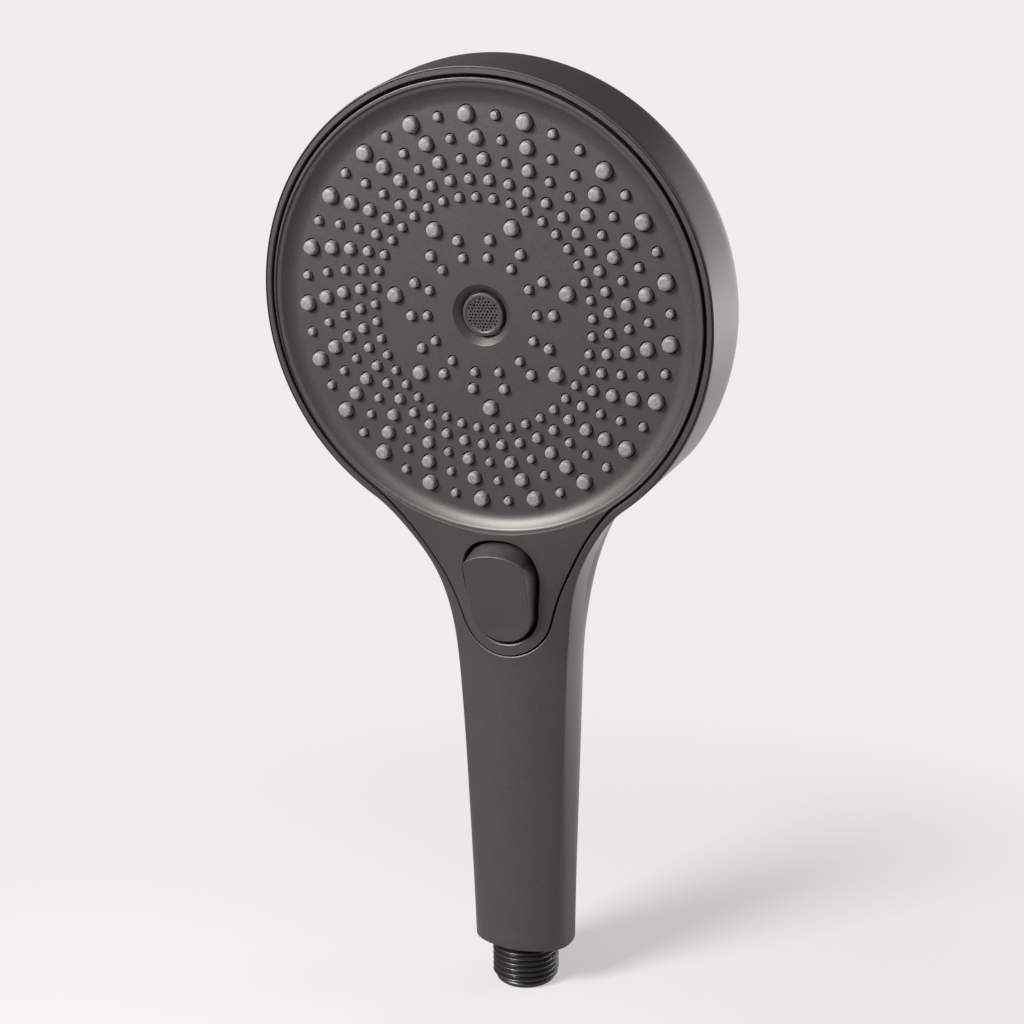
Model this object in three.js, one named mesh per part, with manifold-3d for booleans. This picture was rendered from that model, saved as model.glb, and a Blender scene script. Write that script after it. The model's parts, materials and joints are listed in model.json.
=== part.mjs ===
// Handheld shower head with a round spray face, a neck with a press button and a round handle.
// Millimetres, +Z up along the handle. The origin is the centre of the inlet thread's end face,
// and the spray face looks towards -Y, leaning a little downwards.
import * as THREE from "three";
import { mergeVertices } from "three/addons/utils/BufferGeometryUtils.js";
import { ParametricGeometry } from "three/addons/geometries/ParametricGeometry.js";
import Module from "manifold-3d";

const wasm = await Module();
wasm.setup();

// ---- Driving dimensions --------------------------------------------------------------------

const GAP = 0.3; // clearance between pieces that meet
const WALL = 2.4; // wall of the rear shell

// Spray head. Depths are measured from the front plane, positive towards the back.
const FACE_TILT = THREE.MathUtils.degToRad(9.1);
const FACE_CENTRE = new THREE.Vector3(0, -29, 211.5);
const RIM_RADIUS = 66.75; // front edge of the rear shell
const HEAD_RADIUS = 68.5; // widest part of the rear shell
const WIDEST_DEPTH = 17.3;
const BACK_FILLET = 8;
const BACK_DOME = 1.6;
const PLATE_RADIUS = 64.3; // opening that the front plate sits in
const LIP_RADIUS = 63.5;
const DISH_RADIUS = 59.6; // flat floor of the spray dish
const DISH_DEPTH = 3;
const PLATE_THICKNESS = 2.2;
const COUNTERSINK_RADIUS = 8.7;
const INSERT_RADIUS = 6.4;

// Neck panel and button opening, in the front plane.
const TONGUE_END_V = -88.3; // centre of the rounded lower end
const TONGUE_END_RADIUS = 14.6;
const BUTTON_TOP_V = -78.3;
const BUTTON_TOP_RADIUS = 12.3;
const BUTTON_END_V = -88.5;
const BUTTON_END_RADIUS = 10;
const BUTTON_GAP = 0.6;
const BUTTON_PROUD_TOP = 4.2; // how far the button's face stands out at its top edge
const BUTTON_PROUD_END = 0.3;
const BUTTON_DRAFT = 0.72; // how far the sides lean in for each millimetre they stand out
const BUTTON_BACK_DEPTH = 3;
const PIVOT_V = -95.5;
const PIVOT_DEPTH = 5;
const PIN_RADIUS = 0.8;
const PIN_PLAY = 0.1;

// Handle and inlet.
const HANDLE_END_Z = 14.6;
const THREAD_RADIUS = 20.955 / 2; // G 1/2 pipe thread
const THREAD_PITCH = 1.814;
const THREAD_DEPTH = 1.16;
const NIPPLE_BORE = 7;
const NIPPLE_STEM_RADIUS = 8.9; // plain part pressed into the handle
const SOCKET_FLOOR_Z = 30; // top of the solid end of the handle
const TUBE_RADIUS = 4.2;
const TUBE_BORE = 3.2;

// Spray selector.
const SELECTOR_V = -38;
const SELECTOR_RADIUS = 11;
const RATCHET_RADIUS = 9;
const RATCHET_TEETH = 6;

// Nozzles. Rows run outwards over five rings; wide and narrow rows take turns.
const NOZZLE_ROWS = 41;
const FIRST_ROW_DEG = 1.7;
const ROW_LAG_DEG = 2.7; // each ring inwards is turned back by this much
const OUTER_RINGS = [
  { radius: 54.3, wide: 4.9, narrow: 2.7 },
  { radius: 48.2, wide: 4.3, narrow: 2.6 },
  { radius: 42.7, wide: 3.8, narrow: 2.6 },
  { radius: 37.4, wide: 3.2, narrow: 3.0 },
  { radius: 32.6, wide: 2.7, narrow: 2.6 },
];
const INNER_FOLD = 7;
const INNER_FIRST_DEG = 14;
const INNER_RINGS = [
  { radius: 26.5, width: 4.7, each: 1 },
  { radius: 21.4, width: 3.1, each: 2 },
  { radius: 16.5, width: 2.7, each: 2 },
];

// Rear shell from the handle's end to where the neck has sunk into the head:
// [height, half width at the crease, crease y, front y, widest half width, back y]
const SHELL_STATIONS = [
  [14.6, 12.9, -6.4, -11.4, 14.6, 14.6],
  [17.5, 14.2, -7.2, -12.0, 15.8, 15.8],
  [30, 14.4, -7.4, -11.6, 16.1, 16.1],
  [60, 15.2, -7.6, -11.7, 17.1, 17.1],
  [100, 17.1, -8.0, -12.4, 18.5, 18.5],
  [110, 17.8, -8.4, -12.85, 18.9, 18.8],
  [118, 18.7, -9.1, -14.0, 19.7, 19.0],
  [127, 20.2, -10.8, -15.4, 21.1, 18.8],
  [135, 22.6, -12.8, -16.7, 23.6, 18.0],
  [142, 26, -15.0, -17.8, 27.0, 16.9],
  [149, 30.6, -17.4, -18.9, 31.4, 15.5],
  [155, 34.2, -16.0, -17.0, 34.6, 14.0],
  [165, 31, -12.0, -13.0, 31.4, 11.4],
  [176, 24, -10.0, -11.0, 24.4, 7.8],
  [188, 14, -8.0, -9.0, 14.4, 3.0],
];

const HEAD_SEGMENTS = 40;

const COLOURS = {
  charcoal: [0x4a4643, 0.55, 0.35],
  silicone: [0xa7a5a2, 0.7, 0],
  black: [0x1c1c1d, 0.3, 0],
  white: [0xd9d8d2, 0.5, 0],
  rubber: [0x222222, 0.8, 0],
  steel: [0xb9bcc0, 0.3, 0.9],
  blue: [0x3f6f9c, 0.5, 0],
};

// ---- Frames --------------------------------------------------------------------------------

// A point of the face frame (x, depth, height along the face) in the part's frame.
const faceMatrix = new THREE.Matrix4()
  .makeRotationX(FACE_TILT)
  .setPosition(FACE_CENTRE);

const part = new THREE.Group();
const face = new THREE.Group();
face.position.copy(FACE_CENTRE);
face.rotation.x = FACE_TILT;
part.add(face);

// ---- Helpers -------------------------------------------------------------------------------

// A closed geometry as a solid, turned the right way out and without collapsed triangles.
function solid(geometry) {
  const bare = geometry.index ? geometry.toNonIndexed() : geometry.clone();
  for (const name of Object.keys(bare.attributes)) {
    if (name !== "position") bare.deleteAttribute(name);
  }
  const merged = mergeVertices(bare, 1e-3);
  const index = merged.index.array;
  const kept = [];
  for (let i = 0; i < index.length; i += 3) {
    const [a, b, c] = [index[i], index[i + 1], index[i + 2]];
    if (a !== b && b !== c && c !== a) kept.push(a, b, c);
  }
  const made = fromTriangles(merged.attributes.position.array, kept);
  if (made.volume() > 0) return made;
  for (let i = 0; i < kept.length; i += 3) {
    [kept[i + 1], kept[i + 2]] = [kept[i + 2], kept[i + 1]];
  }
  return fromTriangles(merged.attributes.position.array, kept);
}

function fromTriangles(positions, triangles) {
  return new wasm.Manifold(
    new wasm.Mesh({
      numProp: 3,
      vertProperties: new Float32Array(positions),
      triVerts: new Uint32Array(triangles),
    }),
  );
}

function geometryOf(made) {
  const mesh = made.getMesh();
  const positions = new THREE.BufferAttribute(new Float32Array(mesh.vertProperties), 3);
  const geometry = new THREE.BufferGeometry();
  geometry.setAttribute("position", positions);
  geometry.setIndex(new THREE.BufferAttribute(new Uint32Array(mesh.triVerts), 1));
  geometry.computeVertexNormals();
  return geometry;
}

const joined = (solids) => solids.reduce((all, one) => all.add(one));

// Adds one named piece to a group of the scene.
function piece(parent, name, shape, look) {
  const [color, roughness, metalness] = COLOURS[look];
  const material = new THREE.MeshStandardMaterial({ color, roughness, metalness });
  const geometry = shape.isBufferGeometry ? geometryOf(solid(shape)) : geometryOf(shape);
  const mesh = new THREE.Mesh(geometry, material);
  mesh.name = name;
  parent.add(mesh);
  return mesh;
}

// Turned piece about the depth axis of the face frame; points are [radius, depth].
function turned(points, segments = 32) {
  const profile = points.map(([r, y]) => new THREE.Vector2(r, y));
  return new THREE.LatheGeometry(profile, segments);
}

// Turned piece about the handle's axis; points are [radius, height].
function upright(points, segments = 24) {
  return turned(points, segments).rotateX(Math.PI / 2);
}

function box(x0, x1, y0, y1, z0, z1) {
  const geometry = new THREE.BoxGeometry(x1 - x0, y1 - y0, z1 - z0);
  return geometry.translate((x0 + x1) / 2, (y0 + y1) / 2, (z0 + z1) / 2);
}

// Upright cylinder, and one along the face frame's depth.
function column(radius, z0, z1, x = 0, y = 0, segments = 20) {
  const geometry = new THREE.CylinderGeometry(radius, radius, z1 - z0, segments);
  return geometry.rotateX(Math.PI / 2).translate(x, y, (z0 + z1) / 2);
}

function plug(radius, y0, y1, x = 0, v = 0, segments = 20) {
  const geometry = new THREE.CylinderGeometry(radius, radius, y1 - y0, segments);
  return geometry.translate(x, (y0 + y1) / 2, v);
}

// Flat outline of the face plane pushed through from depth y0 to y1.
function prism(shape, y0, y1, curveSegments = 8) {
  const options = { depth: y1 - y0, bevelEnabled: false, curveSegments };
  return new THREE.ExtrudeGeometry(shape, options).rotateX(Math.PI / 2).translate(0, y1, 0);
}

// Ring of round section: upright axis, or along the face frame's depth.
function sealRing(radius, thickness, height) {
  return new THREE.TorusGeometry(radius, thickness, 5, 16).translate(0, 0, height);
}

function faceSealRing(radius, thickness, depth, x = 0, v = 0, segments = 24) {
  const geometry = new THREE.TorusGeometry(radius, thickness, 5, segments);
  return geometry.rotateX(Math.PI / 2).translate(x, depth, v);
}

class Helix extends THREE.Curve {
  constructor(radius, z0, z1, turns, x, y) {
    super();
    Object.assign(this, { radius, z0, z1, turns, x, y });
  }
  getPoint(t, target = new THREE.Vector3()) {
    const angle = t * this.turns * 2 * Math.PI;
    const x = this.x + this.radius * Math.cos(angle);
    const y = this.y + this.radius * Math.sin(angle);
    return target.set(x, y, this.z0 + (this.z1 - this.z0) * t);
  }
}

// Upright coil spring of round wire between two heights.
function coil(radius, wire, z0, z1, turns, x, y) {
  const path = new Helix(radius, z0 + wire, z1 - wire, turns, x, y);
  const section = new THREE.Shape().absarc(0, 0, wire, 0, 2 * Math.PI);
  const options = { steps: turns * 8, curveSegments: 2, extrudePath: path };
  return new THREE.ExtrudeGeometry(section, options);
}

// Small screw along the face frame's depth, its head towards the back or the front.
function screw(headDepth, tipDepth, x, v, headRadius = 2.6, shankRadius = 1.3) {
  const way = Math.sign(tipDepth - headDepth);
  const profile = [
    [0, headDepth],
    [headRadius, headDepth],
    [headRadius, headDepth + 1.4 * way],
    [shankRadius, headDepth + 1.4 * way],
    [shankRadius, tipDepth - 1 * way],
    [0, tipDepth],
  ];
  return turned(profile, 10).translate(x, 0, v);
}

// ---- Rear shell ----------------------------------------------------------------------------

// One horizontal outline of the neck or handle: a gently curved front between two creases,
// then an oval side and back. `inset` moves the whole outline inwards.
function shellOutline(station, inset, t, target) {
  const [z, creaseX, creaseY, frontY, wideX, backY] = station;
  const c = creaseX - 0.9 * inset;
  const yc = creaseY + 0.9 * inset;
  const w = Math.max(wideX - inset, c + 0.05);
  const front = frontY + inset;
  const back = backY - inset;
  const FRONT_SHARE = 0.3;
  if (t < FRONT_SHARE) {
    const x = -c + (2 * c * t) / FRONT_SHARE;
    return target.set(x, front + (yc - front) * (x / c) ** 2, z);
  }
  // The oval's widest line lies on the handle's axis, or in front of it where the neck is slim.
  const middle = Math.min(0, back - 6);
  const sideDepth = (middle - yc) / Math.sqrt(1 - (c / w) ** 2);
  const creaseAngle = Math.asin((yc - middle) / sideDepth);
  const s = (t - FRONT_SHARE) / (1 - FRONT_SHARE);
  const angle = creaseAngle + (Math.PI - 2 * creaseAngle) * s;
  const depth = angle < 0 || angle > Math.PI ? sideDepth : back - middle;
  return target.set(w * Math.cos(angle), middle + depth * Math.sin(angle), z);
}

// The shell's measures at one height, in proportion between the stations on either side.
function stationAt(z) {
  const list = SHELL_STATIONS;
  let k = 0;
  while (k < list.length - 2 && z > list[k + 1][0]) k += 1;
  const t = (z - list[k][0]) / (list[k + 1][0] - list[k][0]);
  return list[k].map((value, i) => value + (list[k + 1][i] - value) * t);
}

// Closed neck-and-handle body from z0 to z1.
function neckBody(inset, z0, z1) {
  const heights = SHELL_STATIONS.map(([z]) => z).filter((z) => z > z0 + 0.4 && z < z1 - 0.4);
  const rows = [z0, ...heights, z1].map(stationAt);
  const last = rows.length - 1;
  const SLICES = 26;
  const at = (u, v, target) => {
    const row = Math.round(v * (last + 2)) - 1;
    const station = rows[Math.min(Math.max(row, 0), last)];
    shellOutline(station, inset, u % 1, target);
    if (row < 0 || row > last) target.set(0, (station[3] + station[5]) / 2, station[0]);
    return target;
  };
  return solid(new ParametricGeometry(at, SLICES, last + 2));
}

// Outer form of the head: flaring side, rounded back edge, slightly domed back.
function headBody() {
  const profile = [
    [0, 0],
    [RIM_RADIUS, 0],
    [HEAD_RADIUS, WIDEST_DEPTH],
  ];
  for (const deg of [22.5, 45, 67.5, 90]) {
    const a = THREE.MathUtils.degToRad(deg);
    const r = HEAD_RADIUS - BACK_FILLET * (1 - Math.cos(a));
    profile.push([r, WIDEST_DEPTH + BACK_FILLET * Math.sin(a)]);
  }
  profile.push([30, WIDEST_DEPTH + BACK_FILLET + BACK_DOME * 0.8]);
  profile.push([0, WIDEST_DEPTH + BACK_FILLET + BACK_DOME]);
  return solid(turned(profile, HEAD_SEGMENTS).applyMatrix4(faceMatrix));
}

// Hollow of the head: the seat of the front plate, then the room for the water parts.
function headHollow() {
  const seat = DISH_DEPTH + PLATE_THICKNESS + GAP;
  const wallRadius = PLATE_RADIUS - 1.6;
  const back = WIDEST_DEPTH + BACK_FILLET - WALL;
  const profile = [
    [0, -1],
    [PLATE_RADIUS, -1],
    [PLATE_RADIUS, seat],
    [wallRadius, seat],
    [wallRadius, WIDEST_DEPTH],
    [wallRadius - 6, back],
    [0, back],
  ];
  return solid(turned(profile, HEAD_SEGMENTS).applyMatrix4(faceMatrix));
}

// Keyhole outline of the front plate, `inset` inside the shell's opening.
function keyhole(inset) {
  const r = PLATE_RADIUS - inset;
  const shape = new THREE.Shape();
  const start = THREE.MathUtils.degToRad(-53.5);
  shape.absarc(0, 0, r, start, Math.PI - start, false);
  const side = [
    [32.6, -57.2],
    [27, -64.6],
    [22.6, -72],
    [18.9, -79],
    [16, -86],
  ];
  const left = side.map(([x, v]) => new THREE.Vector2(-(x - inset), v));
  const right = side.map(([x, v]) => new THREE.Vector2(x - inset, v)).reverse();
  shape.splineThru(left);
  const endAngle = THREE.MathUtils.degToRad(8);
  const endRadius = TONGUE_END_RADIUS - inset;
  shape.absarc(0, TONGUE_END_V, endRadius, Math.PI + endAngle, -endAngle, false);
  shape.splineThru(right);
  shape.closePath();
  return shape;
}

const outerBody = headBody().add(neckBody(0, HANDLE_END_Z, 188));

function rearShell() {
  const panelOpening = solid(prism(keyhole(0), -3, 8).applyMatrix4(faceMatrix));
  const stemRadius = NIPPLE_STEM_RADIUS + GAP;
  const inletBore = solid(column(stemRadius, HANDLE_END_Z - 1, SOCKET_FLOOR_Z + 2, 0, 0, 24));
  const clipRoom = solid(column(10.4, SOCKET_FLOOR_Z, SOCKET_FLOOR_Z + 6, 0, 0, 24));
  const hollow = neckBody(WALL, SOCKET_FLOOR_Z, 186);
  const cut = joined([headHollow(), hollow, panelOpening, inletBore, clipRoom]);
  return outerBody.subtract(cut);
}

piece(part, "rear_shell", rearShell(), "charcoal");

// ---- Nozzles -------------------------------------------------------------------------------

// Every nozzle as { x, v, width }. Rows 6 and 7 are both narrow, so 41 rows close the circle.
function nozzles() {
  const list = [];
  const place = (radius, degrees, width) => {
    const a = THREE.MathUtils.degToRad(degrees);
    list.push({ x: radius * Math.cos(a), v: radius * Math.sin(a), width });
  };
  OUTER_RINGS.forEach(({ radius, wide, narrow }, ring) => {
    for (let row = 0; row < NOZZLE_ROWS; row += 1) {
      const isWide = row < 7 ? row % 2 === 1 : row % 2 === 0;
      const degrees = FIRST_ROW_DEG + (row * 360) / NOZZLE_ROWS - ring * ROW_LAG_DEG;
      place(radius, degrees, isWide ? wide : narrow);
    }
  });
  for (const { radius, width, each } of INNER_RINGS) {
    const count = INNER_FOLD * each;
    const first = INNER_FIRST_DEG + (each - 1) * (180 / count);
    for (let k = 0; k < count; k += 1) place(radius, first + (k * 360) / count, width);
  }
  return list;
}

const NOZZLE_SIDES = 4;
const NOZZLE_BASE_HEIGHT = 0.9; // above the dish's floor, for a nozzle of no width
const NOZZLE_HEIGHT_SHARE = 0.22; // wider nozzles stand taller

// ---- Front plate ---------------------------------------------------------------------------

// Outline of the button or its opening: two arcs joined by straight flanks.
function buttonOutline(inset) {
  const shape = new THREE.Shape();
  const lean = Math.asin((BUTTON_TOP_RADIUS - BUTTON_END_RADIUS) / (BUTTON_TOP_V - BUTTON_END_V));
  shape.absarc(0, BUTTON_TOP_V, BUTTON_TOP_RADIUS - inset, -lean, Math.PI + lean, false);
  shape.absarc(0, BUTTON_END_V, BUTTON_END_RADIUS - inset, Math.PI + lean, -lean, false);
  shape.closePath();
  return shape;
}

// Spray dish with a thin outer lip, a cove and a flat floor.
function dish() {
  const back = DISH_DEPTH + PLATE_THICKNESS;
  const edge = PLATE_RADIUS - GAP;
  const profile = [
    [0, back],
    [edge, back],
    [edge, 0],
    [LIP_RADIUS, 0],
    [61.6, 1.5],
    [60.6, 2.5],
    [DISH_RADIUS, DISH_DEPTH],
    [0, DISH_DEPTH],
  ];
  return solid(turned(profile, HEAD_SEGMENTS));
}

function frontPlate() {
  const intoFace = faceMatrix.clone().invert();
  const body = solid(geometryOf(outerBody).applyMatrix4(intoFace));
  const skin = body.subtract(body.translate([0, PLATE_THICKNESS, 0]));
  const panel = skin
    .intersect(solid(prism(keyhole(GAP), -3, 7)))
    .subtract(solid(plug(LIP_RADIUS - 0.05, -4, 30, 0, 0, HEAD_SEGMENTS)));
  const holes = nozzles().map(({ x, v, width }) =>
    solid(plug(width / 2 + GAP, DISH_DEPTH - 1, 7, x, v, NOZZLE_SIDES)),
  );
  const opening = solid(prism(buttonOutline(0), -5, 12, 8));
  const bore = solid(plug(INSERT_RADIUS + GAP, DISH_DEPTH - 1, 7));
  const countersink = turned(
    [
      [0, DISH_DEPTH - 0.5],
      [COUNTERSINK_RADIUS + 0.5, DISH_DEPTH - 0.5],
      [INSERT_RADIUS + GAP, DISH_DEPTH + 1.7],
      [0, DISH_DEPTH + 1.7],
    ],
    20,
  );
  const cut = joined([...holes, opening, bore, solid(countersink)]);
  return dish().add(panel).subtract(cut);
}

piece(face, "front_plate", frontPlate(), "charcoal");

// ---- Spray parts behind the front plate ----------------------------------------------------

const MAT_FRONT = DISH_DEPTH + PLATE_THICKNESS + GAP;
const MAT_BACK = MAT_FRONT + 1.6;
const WATER_PLATE_FRONT = MAT_BACK + GAP;
const WATER_PLATE_BACK = WATER_PLATE_FRONT + 1.8;
const MANIFOLD_FRONT = WATER_PLATE_BACK + GAP;
const MANIFOLD_BACK = MANIFOLD_FRONT + 5;
const MAT_RADIUS = 59.5;
const MANIFOLD_RADIUS = 57;

// Soft nozzle mat: a thin disc with one tapered stub for each hole of the front plate.
function nozzleMat() {
  const discProfile = [
    [0, MAT_FRONT],
    [MAT_RADIUS, MAT_FRONT],
    [MAT_RADIUS, MAT_BACK],
    [0, MAT_BACK],
  ];
  const disc = solid(turned(discProfile, 32));
  const stubs = nozzles().map(({ x, v, width }) => {
    const height = NOZZLE_BASE_HEIGHT + NOZZLE_HEIGHT_SHARE * width;
    const tip = DISH_DEPTH - height;
    const length = MAT_FRONT + 0.4 - tip;
    const stub = new THREE.CylinderGeometry(width / 2, width / 2 - 0.25, length, NOZZLE_SIDES);
    return solid(stub.translate(x, tip + length / 2, v));
  });
  const insertRoom = solid(plug(INSERT_RADIUS + GAP, MAT_FRONT - 1, MAT_BACK + 1));
  return joined([disc, ...stubs]).subtract(insertRoom);
}

// Mesh insert at the centre, with square openings for the fine spray.
function mistInsert() {
  const front = DISH_DEPTH + 0.5;
  const body = solid(plug(INSERT_RADIUS, front, MAT_BACK, 0, 0, 20));
  const holePitch = 2.6;
  const halfHole = 0.9;
  const holes = [];
  for (const x of [-holePitch, 0, holePitch]) {
    for (const v of [-holePitch, 0, holePitch]) {
      const hole = box(x - halfHole, x + halfHole, front - 1, front + 1.4, v - halfHole, v + halfHole);
      holes.push(solid(hole));
    }
  }
  const screwRoom = solid(plug(3.4, front + 1, MAT_BACK + 1, 0, 0, 12));
  return body.subtract(joined(holes)).subtract(screwRoom);
}

// Plate that shares the water out to the nozzle zones.
function waterPlate() {
  const disc = solid(
    turned(
      [
        [0, WATER_PLATE_FRONT],
        [60.5, WATER_PLATE_FRONT],
        [60.5, WATER_PLATE_BACK],
        [0, WATER_PLATE_BACK],
      ],
      32,
    ),
  );
  const ports = [];
  for (const [radius, count] of [[50, 8], [36, 6], [22, 4]]) {
    for (let k = 0; k < count; k += 1) {
      const a = (k * 2 * Math.PI) / count;
      ports.push(solid(plug(2.2, 5, 12, radius * Math.cos(a), radius * Math.sin(a), 6)));
    }
  }
  return disc.subtract(joined(ports)).subtract(solid(plug(SCREW_HOLE_RADIUS, 5, 12, 0, 0, 12)));
}

// Manifold behind the water plate: ring channels in front, a seat for the selector and a
// socket for the water tube at the back.
const SOCKET_BASE_Z = 150.5;
const SOCKET_TOP_Z = 165;
const TUBE_SOCKET_RADIUS = TUBE_RADIUS + 1.4; // round the tube's end and its seal
const SCREW_HOLE_RADIUS = 1.6;
const OUTLET_RING_RADIUS = 6.5; // of the manifold's outlets about the selector

function manifoldBody() {
  const f = MANIFOLD_FRONT;
  const b = MANIFOLD_BACK;
  const onFace = (geometry) => solid(geometry.applyMatrix4(faceMatrix));
  const profile = [
    [0, b],
    [MANIFOLD_RADIUS, b],
    [MANIFOLD_RADIUS, f],
    [55, f],
    [55, b - 2],
    [44, b - 2],
    [44, f],
    [42, f],
    [42, b - 2],
    [29, b - 2],
    [29, f],
    [27, f],
    [27, b - 2],
    [7, b - 2],
    [7, f],
    [0, f],
  ];
  const disc = onFace(turned(profile, 24));
  const seat = onFace(plug(SELECTOR_RADIUS + 1.5, b - 0.5, b + 1, 0, SELECTOR_V, 24));
  const socket = solid(column(6.8, SOCKET_BASE_Z, SOCKET_TOP_Z, 0, 0, 18));
  const socketBore = solid(
    column(TUBE_SOCKET_RADIUS, SOCKET_BASE_Z - 1, SOCKET_BASE_Z + 6, 0, 0, 18),
  );
  const web = solid(box(-4, 4, -8, -2, SOCKET_BASE_Z + 8, SOCKET_TOP_Z));
  const riser = solid(column(3, SOCKET_BASE_Z + 4, SOCKET_TOP_Z - 3, 0, 0, 12));
  const feed = solid(box(-2.2, 2.2, -20, 0, SOCKET_BASE_Z + 9, SOCKET_TOP_Z - 3.5));
  const screwBore = onFace(plug(SCREW_HOLE_RADIUS, 5, 14, 0, 0, 12));
  const outlets = [0, 1, 2].map((k) => {
    const a = (k * 2 * Math.PI) / 3 + Math.PI / 6;
    const x = OUTLET_RING_RADIUS * Math.cos(a);
    const v = SELECTOR_V + OUTLET_RING_RADIUS * Math.sin(a);
    return onFace(plug(2.2, f - 1, b + 2, x, v, 10));
  });
  const fixings = fixingPlaces().map(([x, v]) =>
    onFace(plug(SCREW_HOLE_RADIUS, f - 1, b + 1, x, v, 10)),
  );
  return disc
    .add(seat)
    .add(socket.add(web))
    .subtract(joined([socketBore, riser, feed, screwBore, ...outlets, ...fixings]));
}

function fixingPlaces() {
  return [45, 135, 205, 335].map((degrees) => {
    const a = THREE.MathUtils.degToRad(degrees);
    return [50 * Math.cos(a), 50 * Math.sin(a)];
  });
}

piece(face, "nozzle_mat", nozzleMat(), "silicone");
piece(face, "mist_insert", mistInsert(), "black");
piece(face, "face_screw", screw(MAT_BACK - 1.7, MANIFOLD_BACK - 2.2, 0, 0, 2.8, 1.3), "steel");
piece(face, "water_plate", waterPlate(), "white");
piece(face, "plate_seal", faceSealRing(58.7, 0.9, MANIFOLD_FRONT + 1, 0, 0, 32), "rubber");
piece(part, "manifold", manifoldBody(), "white");
fixingPlaces().forEach(([x, v], k) => {
  const fixing = screw(MANIFOLD_BACK + 1.8, MANIFOLD_FRONT + 0.4, x, v);
  piece(face, "manifold_screw_" + (k + 1), fixing, "steel");
});

// ---- Spray selector ------------------------------------------------------------------------

const SEAT_BACK = MANIFOLD_BACK + 1;
const DISC_FRONT = SEAT_BACK + 0.5;
const DISC_BACK = DISC_FRONT + 1.6;
const RATCHET_FRONT = DISC_BACK + GAP;
const RATCHET_BACK = RATCHET_FRONT + 1.8;
const RATCHET_ROOT_RADIUS = 0.68 * RATCHET_RADIUS;
const SHAFT_RADIUS = 2;

// Hole that the disc and the wheel have for the shaft.
function shaftHole() {
  return solid(plug(SHAFT_RADIUS + GAP, DISC_FRONT - 1, RATCHET_BACK + 1, 0, SELECTOR_V, 16));
}

// Turning disc with one port that uncovers one outlet of the manifold at a time.
function selectorDisc() {
  const disc = solid(plug(SELECTOR_RADIUS, DISC_FRONT, DISC_BACK, 0, SELECTOR_V, 30));
  const a = Math.PI / 6;
  const x = OUTLET_RING_RADIUS * Math.cos(a);
  const v = SELECTOR_V + OUTLET_RING_RADIUS * Math.sin(a);
  const port = solid(plug(2.4, DISC_FRONT - 1, DISC_BACK + 1, x, v, 12));
  return disc.subtract(port).subtract(shaftHole());
}

// Ratchet wheel whose teeth the pawl catches.
function ratchetWheel() {
  const shape = new THREE.Shape();
  for (let k = 0; k < RATCHET_TEETH; k += 1) {
    const a = (k * 2 * Math.PI) / RATCHET_TEETH;
    const b = a + (2 * Math.PI * 0.8) / RATCHET_TEETH;
    const tip = [RATCHET_RADIUS * Math.cos(a), RATCHET_RADIUS * Math.sin(a)];
    const root = [RATCHET_ROOT_RADIUS * Math.cos(b), RATCHET_ROOT_RADIUS * Math.sin(b)];
    const foot = [RATCHET_ROOT_RADIUS * Math.cos(a), RATCHET_ROOT_RADIUS * Math.sin(a)];
    if (k === 0) shape.moveTo(...foot);
    else shape.lineTo(...foot);
    shape.lineTo(...tip);
    shape.lineTo(...root);
  }
  shape.closePath();
  const wheel = solid(prism(shape, RATCHET_FRONT, RATCHET_BACK).translate(0, 0, SELECTOR_V));
  return wheel.subtract(shaftHole());
}

// Shaft that carries the disc and the wheel.
function selectorShaft() {
  const profile = [
    [0, SEAT_BACK + 0.2],
    [SHAFT_RADIUS, SEAT_BACK + 0.2],
    [SHAFT_RADIUS, RATCHET_BACK + 1.2],
    [0, RATCHET_BACK + 1.2],
  ];
  return turned(profile, 16).translate(0, 0, SELECTOR_V);
}

// Spring clip round the end of the shaft.
function shaftClip() {
  const y0 = RATCHET_BACK + 0.25;
  const ring = solid(plug(3.6, y0, y0 + 0.6, 0, SELECTOR_V, 16));
  const slot = solid(box(-1.2, 1.2, y0 - 1, y0 + 2, SELECTOR_V, SELECTOR_V + 6));
  const bore = solid(plug(SHAFT_RADIUS + 0.2, y0 - 1, y0 + 2, 0, SELECTOR_V, 16));
  return ring.subtract(bore).subtract(slot);
}

piece(face, "selector_disc", selectorDisc(), "white");
piece(face, "ratchet_wheel", ratchetWheel(), "blue");
piece(face, "selector_shaft", selectorShaft(), "steel");
piece(face, "shaft_clip", shaftClip(), "steel");

// ---- Button, pivot pin and bracket ---------------------------------------------------------

// Point of the button's outline at t, drawn in by `inset`; t runs once round it.
function buttonPoint(t, inset) {
  const lean = Math.asin((BUTTON_TOP_RADIUS - BUTTON_END_RADIUS) / (BUTTON_TOP_V - BUTTON_END_V));
  const TOP_SHARE = 0.54;
  const onTop = t < TOP_SHARE;
  const share = onTop ? t / TOP_SHARE : (t - TOP_SHARE) / (1 - TOP_SHARE);
  const start = onTop ? -lean : Math.PI + lean;
  const sweep = onTop ? Math.PI + 2 * lean : Math.PI - 2 * lean;
  const angle = start + sweep * share;
  const radius = (onTop ? BUTTON_TOP_RADIUS : BUTTON_END_RADIUS) - inset;
  const centre = onTop ? BUTTON_TOP_V : BUTTON_END_V;
  return [radius * Math.cos(angle), centre + radius * Math.sin(angle)];
}

function buttonProud(v) {
  const end = BUTTON_END_V - BUTTON_END_RADIUS;
  const top = BUTTON_TOP_V + BUTTON_TOP_RADIUS;
  return THREE.MathUtils.mapLinear(v, end, top, BUTTON_PROUD_END, BUTTON_PROUD_TOP);
}

const RIB_V = -74;
const RIB_DEPTH = 10.35;
const LUG_HALF = 1.8; // half width of a lug round the pin

// Box from x0 to x1 on one side of the middle, as a solid.
function sideBox(side, x0, x1, y0, y1, z0, z1) {
  const [low, high] = side > 0 ? [x0, x1] : [-x1, -x0];
  return solid(box(low, high, y0, y1, z0, z1));
}

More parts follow.
